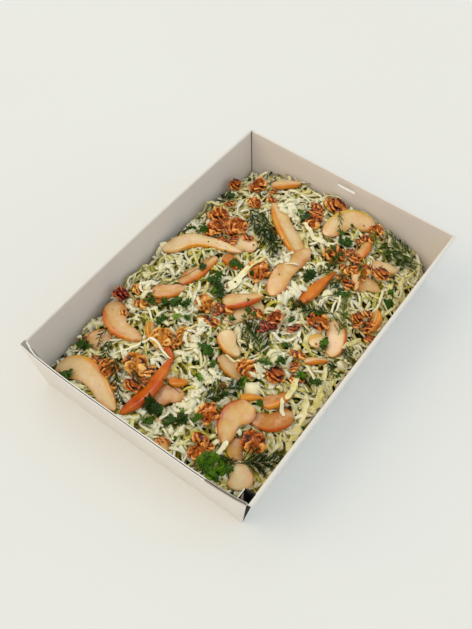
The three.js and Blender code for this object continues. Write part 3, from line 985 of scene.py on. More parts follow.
for number, row in enumerate(pear_rows, 1):
    node = f"pear_slice_{number:02d}"
    low, high = (np.array(corner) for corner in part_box(node))
    blank, points = pear_points(row, pear_twist * (-1) ** number)
    points += (low + high) / 2 - (points.min(0) + points.max(0)) / 2
    chart_topping(points)
    slice_batch = Batch()
    slice_batch.add(blank, points, **pear_marks(blank, row))
    slice_batch.piece(node.replace("slice", "piece"), pear_finish, "pear", node)

small_pears = Batch()
for row in small_pear_rows:
    blank, points = pear_points(row, pear_twist, small_pear_rise)
    chart_topping(points)
    small_pears.add(blank, points, **pear_marks(blank, row))
small_pears.piece("small_pear_pieces", pear_finish, "pear")

# %% [markdown]
# ## Candied walnuts
# Half a walnut kernel is an oval dome with a cleft along it and plump, winding folds like a brain's.
# The blank starts as a ball, flattened to the kernel's proportions. Its midline is pressed in with soft
# edges. Cellular noise swells it into lobes, marble noise lays winding folds over them, and a fine noise
# roughens those. How proud each point stands is kept as a mark: the creases are darker, partly for the
# caramel that gathers there and partly as painted shade, and the proudest points are pale, a painted
# highlight. Broken bits are made in the same way, less deep.

# %% Walnut blanks
walnut_coarseness = 0.62
kernel_shape = (1.0, 0.68, 0.56)
crease_share, fold_share = 14, 95


def displaced(kernel, kind, size, depth, mid_level, **settings):
    noise = bpy.data.textures.new("folds", kind)
    noise.noise_scale = size
    for name, value in settings.items():
        setattr(noise, name, value)
    apply_modifier(kernel, "DISPLACE", texture=noise, texture_coords="GLOBAL",
                   strength=depth, mid_level=mid_level)


def walnut_blank(seed, fold, depth, winding, lobe, swell, detail=5, cleft=1.0):
    """A kernel about four units long. fold and lobe are sizes, depth and swell how far they stand out."""
    kernel = start_from(bpy.ops.mesh.primitive_ico_sphere_add, subdivisions=detail, radius=2)
    kernel.scale = kernel_shape
    settle(kernel)
    with editing(kernel, "VERT"):
        pick(kernel, "verts", lambda vertex: abs(vertex.co.y) < 0.09 and vertex.co.z > 0.1)
        bpy.ops.transform.translate(
            value=(0, 0, -cleft), use_proportional_edit=True,
            proportional_edit_falloff="SHARP", proportional_size=0.6,
        )
    before = Blank(kernel.copy()).points
    kernel.location = (7.3 * seed, 3.1 * seed, 1.7 * seed)
    kernel.scale = (walnut_coarseness,) * 3
    displaced(kernel, "CLOUDS", 1.5, 0.9, 0.5)
    displaced(kernel, "VORONOI", lobe, -swell, 0.45)
    displaced(kernel, "MARBLE", fold, depth, 0.6, turbulence=winding, marble_type="SOFT")
    displaced(kernel, "CLOUDS", 0.35, 0.12, 0.5)
    kernel.location, kernel.scale = (0, 0, 0), (1, 1, 1)
    apply_modifier(kernel, "SMOOTH", factor=0.5, iterations=1)
    blank = Blank(kernel)
    height = np.linalg.norm(blank.points, axis=1) - np.linalg.norm(before, axis=1)
    low, high = np.percentile(height, (crease_share, fold_share))
    blank.proud = np.clip((height - low) / (high - low), 0, 1)
    middle = (blank.points.min(0) + blank.points.max(0)) / 2
    blank.points = (blank.points - middle) / (blank.points.max(0) - middle)
    return blank


walnut_blanks = [walnut_blank(*row) for row in (
    # seed, fold, depth, winding, lobe, swell
    (1, 0.9, 0.60, 11, 1.4, 0.5),
    (2, 1.1, 0.65, 13, 1.2, 0.6),
    (3, 0.8, 0.55, 12, 1.0, 0.7),
    (4, 1.2, 0.75, 15, 1.8, 0.4),
    (5, 0.9, 0.65, 10, 1.6, 0.5),
)]
broken_blanks = [
    walnut_blank(6, 1.3, 0.7, 10, 1.8, 0.7, detail=4, cleft=0.4),
    walnut_blank(7, 1.4, 0.8, 11, 1.6, 0.8, detail=4, cleft=0.0),
    walnut_blank(8, 1.2, 0.7, 9, 2.0, 0.7, detail=4, cleft=0.6),
]
print("walnut blanks:", len(walnut_blanks), "of", len(walnut_blanks[0].sizes), "faces")

# %% [markdown]
# Roasted sugar is dark in the creases and golden on the folds; the near-black of the deepest creases is
# also painted shade, and the pale top of each ramp is a painted highlight, a glint on the folds. Not
# every kernel is equally roasted, so there are three caramels, golden, amber and maroon, and a mark says
# how far each kernel got.

# %% Walnut finish
walnut_finish = Finish("candied_walnut", Roughness=0.2, Coat_Weight=0.15, Coat_Roughness=0.08,
                       Specular_IOR_Level=0.2)
proud, roast = walnut_finish.mark("proud"), walnut_finish.mark("roast")
mottle = walnut_finish.grain(0.003, 3.0)
# Low levels are creases, darkened partly by painted shade; the top levels are a painted highlight.
level = proud + (mottle - 0.5) * 0.5
golden = walnut_finish.ramp(
    level,
    (0.0, (58, 20, 0)), (0.27, (154, 74, 4)),
    (0.57, (222, 142, 36)), (1.0, (252, 208, 122)),
)
amber = walnut_finish.ramp(
    level,
    (0.0, (38, 10, 0)), (0.30, (124, 46, 0)),
    (0.60, (202, 100, 14)), (1.0, (246, 178, 86)),
)
maroon = walnut_finish.ramp(
    level,
    (0.0, (28, 4, 0)), (0.36, (92, 20, 6)),
    (0.7, (152, 50, 20)), (1.0, (224, 128, 76)),
)
warm = walnut_finish.mix((roast * 2).between(0, 1), golden, amber)
walnut_finish.paint(walnut_finish.mix((roast * 2 - 1).between(0, 1), warm, maroon))
walnut_finish.emboss(walnut_finish.grain(0.0008), 0.00015)
print("walnut finish:", len(walnut_finish.tree.nodes), "nodes")

# %% [markdown]
# A kernel is turned, then stretched to its node's box. Broken bits lie where the kernels were
# scattered, and each row gives a bit's place, size and roast.

# %% Walnuts
walnut_rows = [
    # turn, tilt, roast, blank
    (60, 25, 0.40, 0), (30, 0, 0.55, 1), (10, 0, 0.45, 2), (75, 0, 0.45, 3), (-62, 0, 0.45, 4),
    (8, 0, 0.30, 0), (20, 0, 0.40, 1), (-55, 0, 0.35, 2), (35, 0, 0.45, 3), (-50, 0, 0.30, 4),
    (40, 0, 0.35, 0), (40, 0, 1.00, 1), (20, 0, 0.15, 2), (-58, 0, 0.05, 3), (-50, 0, 0.10, 4),
    (25, 0, 0.45, 0), (-52, 0, 0.45, 1), (-30, 0, 0.15, 2), (65, 0, 0.75, 3), (40, 0, 0.40, 4),
    (52, 0, 0.65, 0), (-40, 0, 0.30, 1), (-55, 0, 0.45, 2), (52, 0, 0.40, 3), (-40, 0, 0.60, 4),
    (30, 0, 0.35, 0), (-60, 0, 0.10, 1), (60, 0, 0.60, 2), (-20, 0, 0.62, 3),
]
broken_rows = [
    # place (mm), length, width, turn, roast
    (-71, 49, 12, 9, 20, 0.4), (-69, 141, 11, 8, 70, 0.4), (-18, 151, 14, 10, 10, 0.6),
    (-14, 144, 17, 12, 60, 0.5), (53, 115, 15, 11, 50, 0.4), (53, 96, 16, 11, -30, 0.2),
    (57, 84, 15, 11, 0, 0.6), (67, 81, 15, 11, 60, 0.6), (107, 54, 20, 13, 80, 0.35),
    (115, 44, 15, 10, 40, 0.5), (99, 64, 13, 9, 10, 0.2), (-86, -65, 16, 11, 10, 0.1),
    (-76, -55, 15, 10, 40, 0.25), (-92, -83, 10, 8, 0, 0.1), (-29, -84, 15, 10, 70, 0.5),
    (-78, -138, 15, 10, 30, 0.3), (-28, -120, 16, 11, 80, 0.2), (-36, -128, 15, 11, 30, 0.4),
    (-18, -28, 13, 9, 50, 0.9), (-18, -43, 24, 13, 20, 0.3), (12, -5, 18, 10, 0, 0.4),
    (28, -18, 14, 9, 40, 0.9), (52, 2, 16, 9, 60, 0.9), (71, -20, 17, 10, 10, 0.3),
    (76, -33, 15, 10, 80, 0.3), (51, -146, 17, 12, 0, 0.6), (60, -148, 14, 10, 50, 0.4),
    (26, -168, 14, 9, 30, 0.3), (-107, -126, 11, 8, 70, 0.9), (-8, 128, 10, 7, 20, 0.3),
    (35, -92, 9, 7, 50, 0.3), (-64, 78, 10, 8, 10, 0.5), (44, 138, 10, 7, 30, 0.3),
    (-37, -24, 9, 7, 60, 0.2), (-72, 71, 16, 11, 30, 0.5), (-67, 81, 15, 10, -20, 0.7),
    (-61, 56, 15, 11, 80, 0.6), (-50, 67, 13, 9, 10, 0.65), (-86, 61, 13, 9, 50, 0.3),
    (-88, 74, 14, 10, -30, 0.4), (-72, 76, 20, 14, 40, 0.6), (-83, 70, 18, 12, 0, 0.5),
    (-78, 64, 14, 10, 70, 0.7), (-13, 139, 20, 13, 30, 0.6), (-16, -20, 20, 13, 20, 0.5),
    (30, -10, 19, 12, 10, 0.95), (59, 106, 17, 12, 80, 0.5), (-20, -62, 17, 11, 60, 0.05),
    (6, 33, 13, 9, 40, 0.6), (64, 100, 14, 10, 20, 0.4), (-98, 100, 12, 9, 60, 0.5),
    (97, 48, 15, 10, 70, 0.4), (86, -42, 18, 12, 50, 0.4), (50, 147, 16, 11, 0, 0.5),
    (-33, -142, 13, 9, 50, 0.4),
    (-101, -98, 10, 7, 20, 0.6), (-47, -155, 16, 10, 60, 0.3), (-24, -133, 18, 12, 30, 0.4),
    (-62, 129, 13, 9, 0, 0.5), (-85, -51, 16, 11, 60, 0.4), (-72, 63, 16, 11, 10, 0.6),
    (-76, 78, 14, 10, 50, 0.5), (70, 96, 13, 9, 20, 0.5), (44, 118, 13, 9, 60, 0.4),
]
broken_height = 0.55
broken_rise = 0.0026


for number, (turn, tilt, roasted, kind) in enumerate(walnut_rows, 1):
    node = f"walnut_{number:02d}"
    low, high = (np.array(corner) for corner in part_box(node))
    blank = walnut_blanks[kind]
    points = turned_points(blank.points, yaw=math.radians(turn), roll=math.radians(tilt))
    extent = (points.max(0) - points.min(0)) / 2
    points = points / extent * (high - low) / 2 + (low + high) / 2
    chart_topping(points)
    kernel_batch = Batch()
    kernel_batch.add(blank, points, proud=blank.proud, roast=roasted)
    kernel_batch.piece(node.replace("walnut", "kernel"), walnut_finish, "candied_walnut", node)

broken = Batch()
for number, (x, y, length, width, turn, roasted) in enumerate(broken_rows):
    blank = broken_blanks[number % len(broken_blanks)]
    half_size = np.array((length, width, width * broken_height)) * 0.0005
    points = turned_points(blank.points * half_size, yaw=math.radians(turn))
    points = points + np.array((x * 0.001, y * 0.001, 0.0))
    points[:, 2] += float(heap_height(points[:, 0].mean(), points[:, 1].mean())) + broken_rise
    points = keep_in_tray(points)
    chart_topping(points)
    broken.add(blank, points, proud=blank.proud, roast=roasted)
broken.piece("broken_walnuts", walnut_finish, "candied_walnut")

# %% [markdown]
# ## The core of the heap
# Between the upper shreds one looks down on more shreds, in shade and wet with dressing. What is too deep
# to make out is one solid core: a fine grid shaped like the heap and sunk below it, then drawn down to
# the tray's base and closed. Its relief stands for the cabbage there. Its near-black olive colour is
# partly the dressing and mostly painted shade, for the little light that gets down between the shreds.

# %% Core
core_depth, core_lowest_top = 0.0062, 0.008
core_below_toppings, core_gap = 0.002, 0.001
core_relief = 0.0012
core_columns, core_rows = 110, 160

# Dark olive core: painted shade deep in the heap, with a little of the dressing's colour.
core_painted_shade_finish = Finish("deep_cabbage_painted_shade", Roughness=0.55, Specular_IOR_Level=0.2)
core_painted_shade_finish.paint(core_painted_shade_finish.ramp(
    core_painted_shade_finish.grain(0.006, 3.0),
    (0.35, (26, 21, 0)), (0.55, (72, 62, 8)), (0.72, (124, 112, 38)),
))
core_painted_shade_finish.emboss(core_painted_shade_finish.grain(0.002), 0.0008)

core = start_from(
    bpy.ops.mesh.primitive_grid_add, x_subdivisions=core_columns, y_subdivisions=core_rows, size=1,
)
core.name = "slaw_core"
core.scale = (2 * inside_half_width, 2 * inside_half_length, 1)
settle(core)
with editing(core, "EDGE"):
    bpy.ops.mesh.select_all(action="SELECT")
    bpy.ops.mesh.region_to_loop()
    bpy.ops.mesh.extrude_region_move(TRANSFORM_OT_translate={"value": (0, 0, -1)})
    bpy.ops.mesh.edge_face_add()
    bpy.ops.mesh.select_all(action="SELECT")
    bpy.ops.mesh.normals_make_consistent(inside=False)

points = read_points(core)
x, y = points[:, 0], points[:, 1]
relief = np.sin(x * 1100 + 2 * np.sin(y * 700)) * np.cos(y * 1300 + 2 * np.sin(x * 900))
top = heap_height(x, y) + humps(x, y) - core_depth + core_relief * relief
top = np.minimum(top, underside[chart_index(x, y)] - core_below_toppings)
points[:, 2] = np.where(points[:, 2] > -0.5, np.maximum(top, core_lowest_top), core_floor)
half_width, half_length = inside_limits(points[:, 2])
points[:, 0] *= (half_width - core_gap) / inside_half_width
points[:, 1] *= (half_length - core_gap) / inside_half_length
put_points(core, points)
core.data.materials.append(core_painted_shade_finish.material)
only(core)
bpy.ops.object.shade_smooth()
on_record(core, "cabbage", "slaw")
print("core:", len(core.data.polygons), "faces, top at", round(float(points[:, 2].max()), 4), "m")

# %% [markdown]
# ## Cabbage shreds
# A shred is a thin strip cut across many leaf layers: flat, 1 to 3 mm wide, and curled as the leaf
# was. One is made as it grows out of the knife: a short bar whose end face is extruded again and
# again, and turned, tipped and narrowed a little each time. Some shreds are long, most are short,
# and the thick white ribs come out as chunks. A few blanks of each are enough for a whole salad,
# because every copy is turned and stretched. With only six steps, a shred is a few dozen faces.

# %% Shred blanks
def shred_blank(length, width, thickness, curl, lift, taper, steps=6):
    """curl and lift are how far the shred turns sideways and upwards from end to end, in degrees."""
    step = length / steps
    shred = start_from(bpy.ops.mesh.primitive_cube_add, size=1, scale=(step, width, thickness))
    heading, end = Vector((1, 0, 0)), Vector((step / 2, 0, 0))
    with editing(shred, "FACE"):
        pick(shred, "faces", lambda face: face.normal.x > 0.9)
        for number in range(1, steps):
            swing = math.radians(curl(number / steps)) / steps
            rise = math.radians(lift(number / steps)) / steps
            bpy.ops.mesh.extrude_region_move(TRANSFORM_OT_translate={"value": heading * step})
            end += heading * step
            bpy.ops.transform.rotate(value=-swing, orient_axis="Z", center_override=end)
            bpy.ops.transform.rotate(value=-rise, orient_axis="Y", center_override=end)
            narrower = 1 - taper * (number / steps) ** 2
            bpy.ops.transform.resize(value=(narrower,) * 3, center_override=end)
            heading = Matrix.Rotation(rise, 3, "Y") @ Matrix.Rotation(swing, 3, "Z") @ heading
    blank = Blank(shred)
    blank.points -= blank.points.mean(0)
    return blank


def steady(angle):
    return lambda share: angle


def swaying(angle, waves, phase=0.0):
    return lambda share: angle * math.sin(2 * math.pi * (waves * share + phase))


long_shreds = [
    shred_blank(0.038, 0.0025, 0.0008, steady(35), swaying(50, 1.0), 0.05, 7),
    shred_blank(0.033, 0.0030, 0.0008, steady(-60), swaying(40, 1.5, 0.3), 0.05, 7),
    shred_blank(0.042, 0.0020, 0.0009, swaying(90, 1.0), steady(15), 0.05, 7),
    shred_blank(0.030, 0.0034, 0.0008, steady(60), swaying(30, 1.0, 0.5), 0.06, 7),
]
curls = [
    shred_blank(0.030, 0.0023, 0.0008, steady(200), swaying(40, 1.0), 0.06, 8),
    shred_blank(0.024, 0.0030, 0.0008, steady(-230), steady(20), 0.06, 8),
    shred_blank(0.020, 0.0034, 0.0009, steady(150), swaying(90, 1.0), 0.06, 7),
]
short_shreds = [
    shred_blank(0.017, 0.0040, 0.0009, steady(25), swaying(70, 1.0), 0.08),
    shred_blank(0.014, 0.0050, 0.0010, steady(-50), steady(40), 0.10),
    shred_blank(0.020, 0.0034, 0.0009, steady(60), swaying(-60, 1.0), 0.06),
    shred_blank(0.013, 0.0044, 0.0011, swaying(60, 1.0), swaying(80, 1.0), 0.10),
]
chunks = [
    shred_blank(0.0095, 0.0058, 0.0022, steady(20), steady(20), 0.14, 4),
    shred_blank(0.0080, 0.0048, 0.0026, steady(-40), steady(10), 0.18, 4),
    shred_blank(0.0120, 0.0046, 0.0018, steady(50), steady(-30), 0.12, 4),
    shred_blank(0.0070, 0.0062, 0.0020, steady(30), steady(40), 0.22, 3),
]
threads = [
    shred_blank(0.022, 0.0014, 0.0009, swaying(160, 1.3), swaying(80, 1.0, 0.2), 0.04, 8),
    shred_blank(0.018, 0.0012, 0.0010, steady(180), swaying(110, 1.0), 0.04, 8),
]
shred_kinds = long_shreds + curls + short_shreds + chunks + threads
print("shred blanks:", len(shred_kinds), "of", len(short_shreds[0].sizes), "faces")

# %% [markdown]
# Between the shreds lie torn bits of leaf. A leaf blank is a flat many-cornered disc: each corner is
# moved in or out to make a ragged outline, the middle is joined to all corners with a poke, and a
# solidify modifier gives it a thickness. The same tool makes the herbs later. Every copy is made
# narrower or wider and gets a curl of its own.

# %% Leaf blanks
def leaf_blank(corners, thickness=0.09, finer=False):
    """A flat leaf about one unit from middle to edge, whose corners lie at these distances."""
    leaf = start_from(
        bpy.ops.mesh.primitive_circle_add, vertices=len(corners), radius=1, fill_type="NGON",
    )
    with editing(leaf, "VERT"):
        for number, reach in enumerate(corners):
            pick(leaf, "verts", lambda vertex: vertex.index == number)
            bpy.ops.transform.resize(value=(reach, reach, 1), center_override=(0, 0, 0))
        bpy.ops.mesh.select_all(action="SELECT")
        bpy.ops.mesh.poke()
        if finer:
            bpy.ops.mesh.select_all(action="SELECT")
            bpy.ops.mesh.subdivide(number_cuts=1)
    apply_modifier(leaf, "SOLIDIFY", thickness=thickness, offset=0.0)
    return Blank(leaf)


torn_leaves = [
    leaf_blank((1.0, 0.8, 1.05, 0.7, 0.95, 1.0, 0.6, 0.9)),
    leaf_blank((1.0, 0.6, 0.8, 1.0, 0.9, 0.65, 1.0)),
    leaf_blank((0.9, 1.05, 0.7, 0.75, 1.0, 0.85, 0.95, 0.6, 0.8)),
]
print("leaf blanks:", len(torn_leaves), "of", len(torn_leaves[0].sizes), "faces")

# %% [markdown]
# White cabbage goes from the white of the ribs to a pale yellow-green towards the leaf's edge, and the
# dressing makes all of it a little creamy. Each bit has one tint, kept as its mark. The dark olive-brown
# end of the ramp is painted shade: the layers strewn deeper in the heap take their tints from there.

# %% Cabbage finish
cabbage_finish = Finish("shredded_cabbage", Roughness=0.36, Subsurface_Weight=0.1,
                        Specular_IOR_Level=0.15)
cabbage_finish.shader.inputs["Subsurface Radius"].default_value = (0.003, 0.003, 0.0015)
tint = cabbage_finish.mark("tint")
streaks = cabbage_finish.grain(0.004)
cabbage_finish.paint(cabbage_finish.ramp(
    tint + (streaks - 0.5) * 0.3,
    (0.0, (249, 243, 214)),
    (0.3, (236, 226, 160)),
    (0.55, (210, 198, 88)),
    # Dark end of the ramp: painted shade for the deep layers.
    (0.8, (140, 128, 4)),
    (1.0, (56, 48, 0)),
))
cabbage_finish.emboss(cabbage_finish.grain(0.0012), 0.00015)
print("cabbage finish:", len(cabbage_finish.tree.nodes), "nodes")

# %% [markdown]
# The bits are strewn in layers, each on a jittered grid so that no spot stays bare. Neighbours tend
# to lie the same way, as they fell from the knife. Each bit is draped: its points follow the heap
# below it and keep their own curl on top. Points that would end in a topping are pressed down under
# it, and points past a wall are moved back to it. Whiter and greener patches alternate.

# %% Strewing
topping_clearance = 0.0005
tuft_height = 0.0014
jitter = 0.7
yaw_spread, roll_spread = 0.8, 0.32
shade_spread = 0.07
bow_room = 0.002


def press_under_toppings(points):
    highest = underside[chart_index(points[:, 0], points[:, 1])] - topping_clearance
    points[:, 2] = np.minimum(points[:, 2], highest)
    return points


def tufts(x, y):
    return tuft_height * np.sin(x * 420 + 3 * np.sin(y * 160)) * np.cos(y * 380 + 3 * np.sin(x * 210))


def drape(points, at_x, at_y, lift):
    points = points + np.array((at_x, at_y, 0.0))
    x, y = points[:, 0], points[:, 1]
    points[:, 2] += heap_height(x, y) + humps(x, y) + tufts(x, y) + lift
    return points


def lie_of_the_strands(x, y):
    return 2.2 * math.sin(x * 38 + 1.7) + 2.0 * math.cos(y * 31 + x * 22)


def greener(x, y):
    return 0.13 * math.sin(x * 90 + 2 * math.sin(y * 55)) * math.cos(y * 75 - 1.5 * math.sin(x * 60))


def cut(blanks, chance):
    blank = blanks[chance.integers(len(blanks))]
    return blank, blank.points * chance.uniform(0.75, 1.25)


def torn(blanks, chance, smallest=0.005, largest=0.0105, curl=0.35, narrowest=0.45):
    blank = blanks[chance.integers(len(blanks))]
    points = blank.points * (1, chance.uniform(narrowest, 0.95), 1)
    bow = chance.normal(0, curl, 2)
    points[:, 2] += bow[0] * points[:, 0] ** 2 + bow[1] * points[:, 1] ** 2
    return blank, points * chance.uniform(smallest, largest)


def strew(name, count, lowest, highest, tints_with_depth_shade, kinds, seed, stand=0.14):
    """Strews bits between two heights over the heap. kinds are (way, blanks, share of the copies)."""
    chance = np.random.default_rng(seed)
    batch = Batch()
    spacing = math.sqrt(4 * inside_half_width * inside_half_length / count)
    weights = np.array([share for _, _, share in kinds])
    for x in np.arange(-inside_half_width + spacing / 2, inside_half_width, spacing):
        for y in np.arange(-inside_half_length - bow_room, inside_half_length, spacing):
            at_x, at_y = np.array((x, y)) + chance.uniform(-jitter, jitter, 2) * spacing
            way, blanks, _ = kinds[chance.choice(len(kinds), p=weights / weights.sum())]
            blank, points = way(blanks, chance)
            points = turned_points(
                points,
                yaw=lie_of_the_strands(at_x, at_y) + chance.normal(0, yaw_spread),
                pitch=chance.normal(0, stand),
                roll=chance.normal(0, roll_spread) + chance.integers(2) * math.pi,
            )
            points = drape(points, at_x, at_y, chance.uniform(lowest, highest))
            points = keep_in_tray(press_under_toppings(points))
            shade = chance.choice(tints_with_depth_shade) + chance.normal(0, shade_spread) + greener(at_x, at_y)
            batch.add(blank, points, tint=np.clip(shade, 0, 1))
    chart_top(np.concatenate(batch.points))
    return batch.piece(name, cabbage_finish, "cabbage")


# Deeper layers get darker tints: painted shade, for the shade down in the heap.
strew("shreds_below", 900, -0.0068, -0.0038, (0.6, 0.75, 0.9, 1.0),
      ((cut, long_shreds, 4), (cut, short_shreds, 5), (torn, torn_leaves, 4)), seed=11)
strew("shreds_between", 1150, -0.0046, -0.0012, (0.15, 0.35, 0.5, 0.65, 0.8),
      ((cut, long_shreds, 5), (cut, curls, 1), (cut, short_shreds, 4), (cut, chunks, 2),
       (torn, torn_leaves, 3)), seed=12)
strew("shreds_on_top", 1150, -0.0014, 0.0024, (0.0, 0.0, 0.0, 0.1, 0.2, 0.4),
      ((cut, long_shreds, 9), (cut, curls, 2), (cut, short_shreds, 4), (cut, chunks, 2),
       (torn, torn_leaves, 2)), seed=13, stand=0.18)
strew("fine_threads", 450, -0.0005, 0.0028, (0.0, 0.15, 0.3, 0.5),
      ((cut, threads, 1), (cut, curls, 1)), seed=14, stand=0.2)

# %% [markdown]
# ## Large pieces of leaf
# Some pieces stand out from the rest: pale leaves along the walls, long ribs and an arc of white rib over
# the toppings. They are strips bent along lines over what already lies there, with ruffled edges. Where
# the cabbage came off the board in a heap of white bits, chunks, short shreds and curls are strewn along
# a short line.

# %% Leaf strips
strip_blank = bar_blank(16, 4, fullness=0.7, thinnest=0.6)
surface = softened(topside, 2)


def over_all(x, y):
    return surface[chart_index(x, y)]


strip_rows = [
    # line (mm)                                   width thick roll tint ruffle
    (((-69, -125), (-59, -111), (-52, -98), (-42, -95), (-28, -98), (-19, -100)),
     2.6, 1.4, 0, 0.05, 0),
    (((-24, 17), (-20, 49), (-19, 87)), 4.5, 1.2, 15, 0.30, 0.4),
    (((-17, 121), (10, 110), (27, 117)), 6.0, 1.2, 20, 0.10, 0.6),
    (((-18, 167), (-10, 170), (0, 171)), 6.0, 1.0, 50, 0.25, 0.5),
    (((64, 171), (67, 165), (69, 158)), 4.5, 1.2, 20, 0.20, 0.4),
    (((110, 90), (104, 100), (98, 112)), 7, 0.9, 15, 0.35, 1.0),
    (((109, 104), (106, 118), (104, 130)), 5, 0.9, 30, 0.25, 0.8),
    (((106, 131), (107, 147), (108, 160)), 6, 0.9, 30, 0.30, 0.8),
    (((116, -104), (113, -86), (112, -68)), 10, 0.9, 25, 0.30, 1.2),
    (((112, -78), (107, -62), (100, -48)), 9, 0.9, 35, 0.22, 1.2),
    (((114, -60), (112, -46), (108, -34)), 8, 0.9, 15, 0.35, 1.0),
    (((108, -40), (104, -24), (98, -12)), 7, 0.9, 35, 0.20, 1.0),
    (((113, -30), (111, -18), (108, -6)), 6, 0.9, 20, 0.30, 0.8),
    (((90, -68), (88, -55), (85, -41)), 9, 1.0, 25, 0.25, 1.0),
    (((101, 10), (104, 24), (108, 38)), 6, 0.9, 30, 0.30, 0.8),
    (((86, -69), (91, -76), (97, -81)), 6, 1.2, 15, 0.10, 0.4),
    (((32, -162), (32, -152), (30, -142)), 6, 1.1, 15, 0.10, 0.5),
    (((71, -152), (71, -142), (72, -133)), 7, 1.1, 15, 0.10, 0.6),
    (((17, -63), (25, -63), (35, -64)), 2.2, 1.2, 0, 0.20, 0),
    (((-26, -4), (-25, 14), (-25, 32)), 11, 1.2, 10, 0.12, 1.0),
    (((53, 50), (55, 61), (56, 72)), 7, 1.1, 15, 0.10, 0.6),
    (((116, -140), (117, -125), (117, -108)), 8, 0.9, 30, 0.40, 1.0),
    (((-118, -60), (-119, -40), (-118, -22)), 6, 0.9, 30, 0.50, 0.8),
    (((-118, 60), (-118, 78), (-116, 96)), 6, 0.9, 30, 0.45, 0.8),
    (((-115, -4), (-117, 5), (-116, 14)), 9, 0.9, 60, 0.12, 0.8),
    (((-112, -46), (-115, -38), (-116, -28)), 8, 0.9, 55, 0.20, 0.8),
    (((-107, 34), (-104, 40), (-101, 47)), 6, 0.9, 40, 0.05, 0.4),
    (((20, 170), (34, 172), (48, 171)), 5, 0.9, 40, 0.45, 0.8),
]
heaped_rows = [
    # line (mm), breadth, number of bits, tint
    (((-18, 54), (5, 68)), 8, 12, 0.02), (((-48, 129), (-22, 124)), 8, 12, 0.05),
    (((18, -104), (20, -83)), 7, 12, 0.05), (((25, -133), (22, -100)), 9, 20, 0.05),
    (((-7, -89), (-22, -51)), 10, 26, 0.05), (((-39, -57), (-48, -34)), 9, 16, 0.0),
    (((12, -172), (11, -158)), 6, 8, 0.1), (((-92, -52), (-94, -38)), 6, 7, 0.02),
    (((60, -30), (52, -66)), 8, 12, 0.1),
    (((-104, -30), (-84, 2)), 8, 12, 0.1),
    (((30, 44), (22, 22)), 7, 10, 0.0),
]
strip_rise = 0.0012
heap_tilt, heap_rise, heap_shade_spread = 0.3, 0.002, 0.08


def ragged(points, ruffle, chance):
    """Tears the two edges of a strip unevenly and waves them up and down."""
    points = points.copy()
    knots = np.linspace(-1, 1, 9)
    left, right = chance.uniform(0.5, 1.15, (2, len(knots)))
    waves = chance.normal(0, 1, (2, len(knots)))
    above = points[:, 1] > 0
    along = points[:, 0]
    points[:, 1] *= np.where(above, np.interp(along, knots, left), np.interp(along, knots, right))
    wave = np.where(above, np.interp(along, knots, waves[0]), np.interp(along, knots, waves[1]))
    return points, wave * np.abs(points[:, 1]) ** 1.5 * ruffle * 0.001


strips = Batch()
chance = np.random.default_rng(22)
for number, (line, width, thick, roll, shade, ruffle) in enumerate(strip_rows):
    points, waves = ragged(strip_blank.points, ruffle, chance) if ruffle else (strip_blank.points, 0)
    placed = bend(points, in_metres(line), width * 0.001, thick * 0.001, math.radians(roll),
                  side=(-1) ** number, rise=strip_rise, over=over_all)
    placed[:, 2] += waves
    strips.add(strip_blank, keep_in_tray(placed), tint=shade)
chart_top(np.concatenate(strips.points))
strips.piece("leaf_strips", cabbage_finish, "cabbage")

heaped = Batch()
chance = np.random.default_rng(21)
for (start, end), breadth, count, shade in heaped_rows:
    for share in (np.arange(count) + 0.5) / count:
        at = np.array(start) * (1 - share) + np.array(end) * share + chance.normal(0, breadth / 3, 2)
        way, blanks = ((cut, chunks), (cut, short_shreds), (cut, curls))[chance.integers(3)]
        blank, points = way(blanks, chance)
        points = turned_points(points, chance.uniform(0, math.tau), *chance.normal(0, heap_tilt, 2))
        points = points + np.array((*at * 0.001, 0.0))
        points[:, 2] += over_all(points[:, 0], points[:, 1]) + chance.uniform(0, heap_rise)
        tint = np.clip(shade + chance.normal(0, heap_shade_spread), 0, 1)
        heaped.add(blank, keep_in_tray(points), tint=tint)
chart_top(np.concatenate(heaped.points))
heaped.piece("heaped_bits", cabbage_finish, "cabbage")

# %% [markdown]
# ## Parsley
# Parsley was chopped roughly: dark green scraps everywhere, and here and there a whole leaf or a
# bunch of them. A leaf has three toothed lobes. The scraps are plain ragged discs. Both come from
# the leaf tool, and they settle on whatever lies highest below them.

# %% Parsley
leaf_smallest, leaf_largest = 0.00060, 0.00090
leaf_curl, leaf_narrowest, leaf_tilt = 0.35, 0.7, 0.3
leaf_rise, layer_rise = 0.0008, 0.0005
tone_spread = 0.12
scrap_tries, scraps_on_toppings = 320, 0.05
scrap_smallest, scrap_largest = 0.0012, 0.0034
scrap_curl, scrap_narrowest, scrap_tilt = 0.4, 0.5, 0.35
scrap_rise = 0.0006
scrap_tone, scrap_tone_spread = 0.25, 0.2
surface = softened(topside, 2)
lobed_leaves = [
    leaf_blank((1.1, 0.75, 0.95, 0.4, 0.85, 0.7, 1.0, 0.45,
                0.3, 0.45, 1.0, 0.7, 0.85, 0.4, 0.95, 0.75), thickness=0.06, finer=True),
    leaf_blank((1.0, 0.7, 1.0, 0.45, 0.9, 0.65, 0.95, 0.35, 0.9, 0.7, 1.0, 0.5, 0.95, 0.7),
               thickness=0.06, finer=True),
]
scraps = [
    leaf_blank((1.0, 0.5, 0.95, 0.6, 1.0, 0.45, 0.8), thickness=0.12),
    leaf_blank((1.1, 0.6, 0.7, 0.9, 0.5, 0.8), thickness=0.14),
    leaf_blank((0.9, 0.6, 1.05, 0.5, 0.7, 0.95, 0.55, 0.8), thickness=0.12),
]

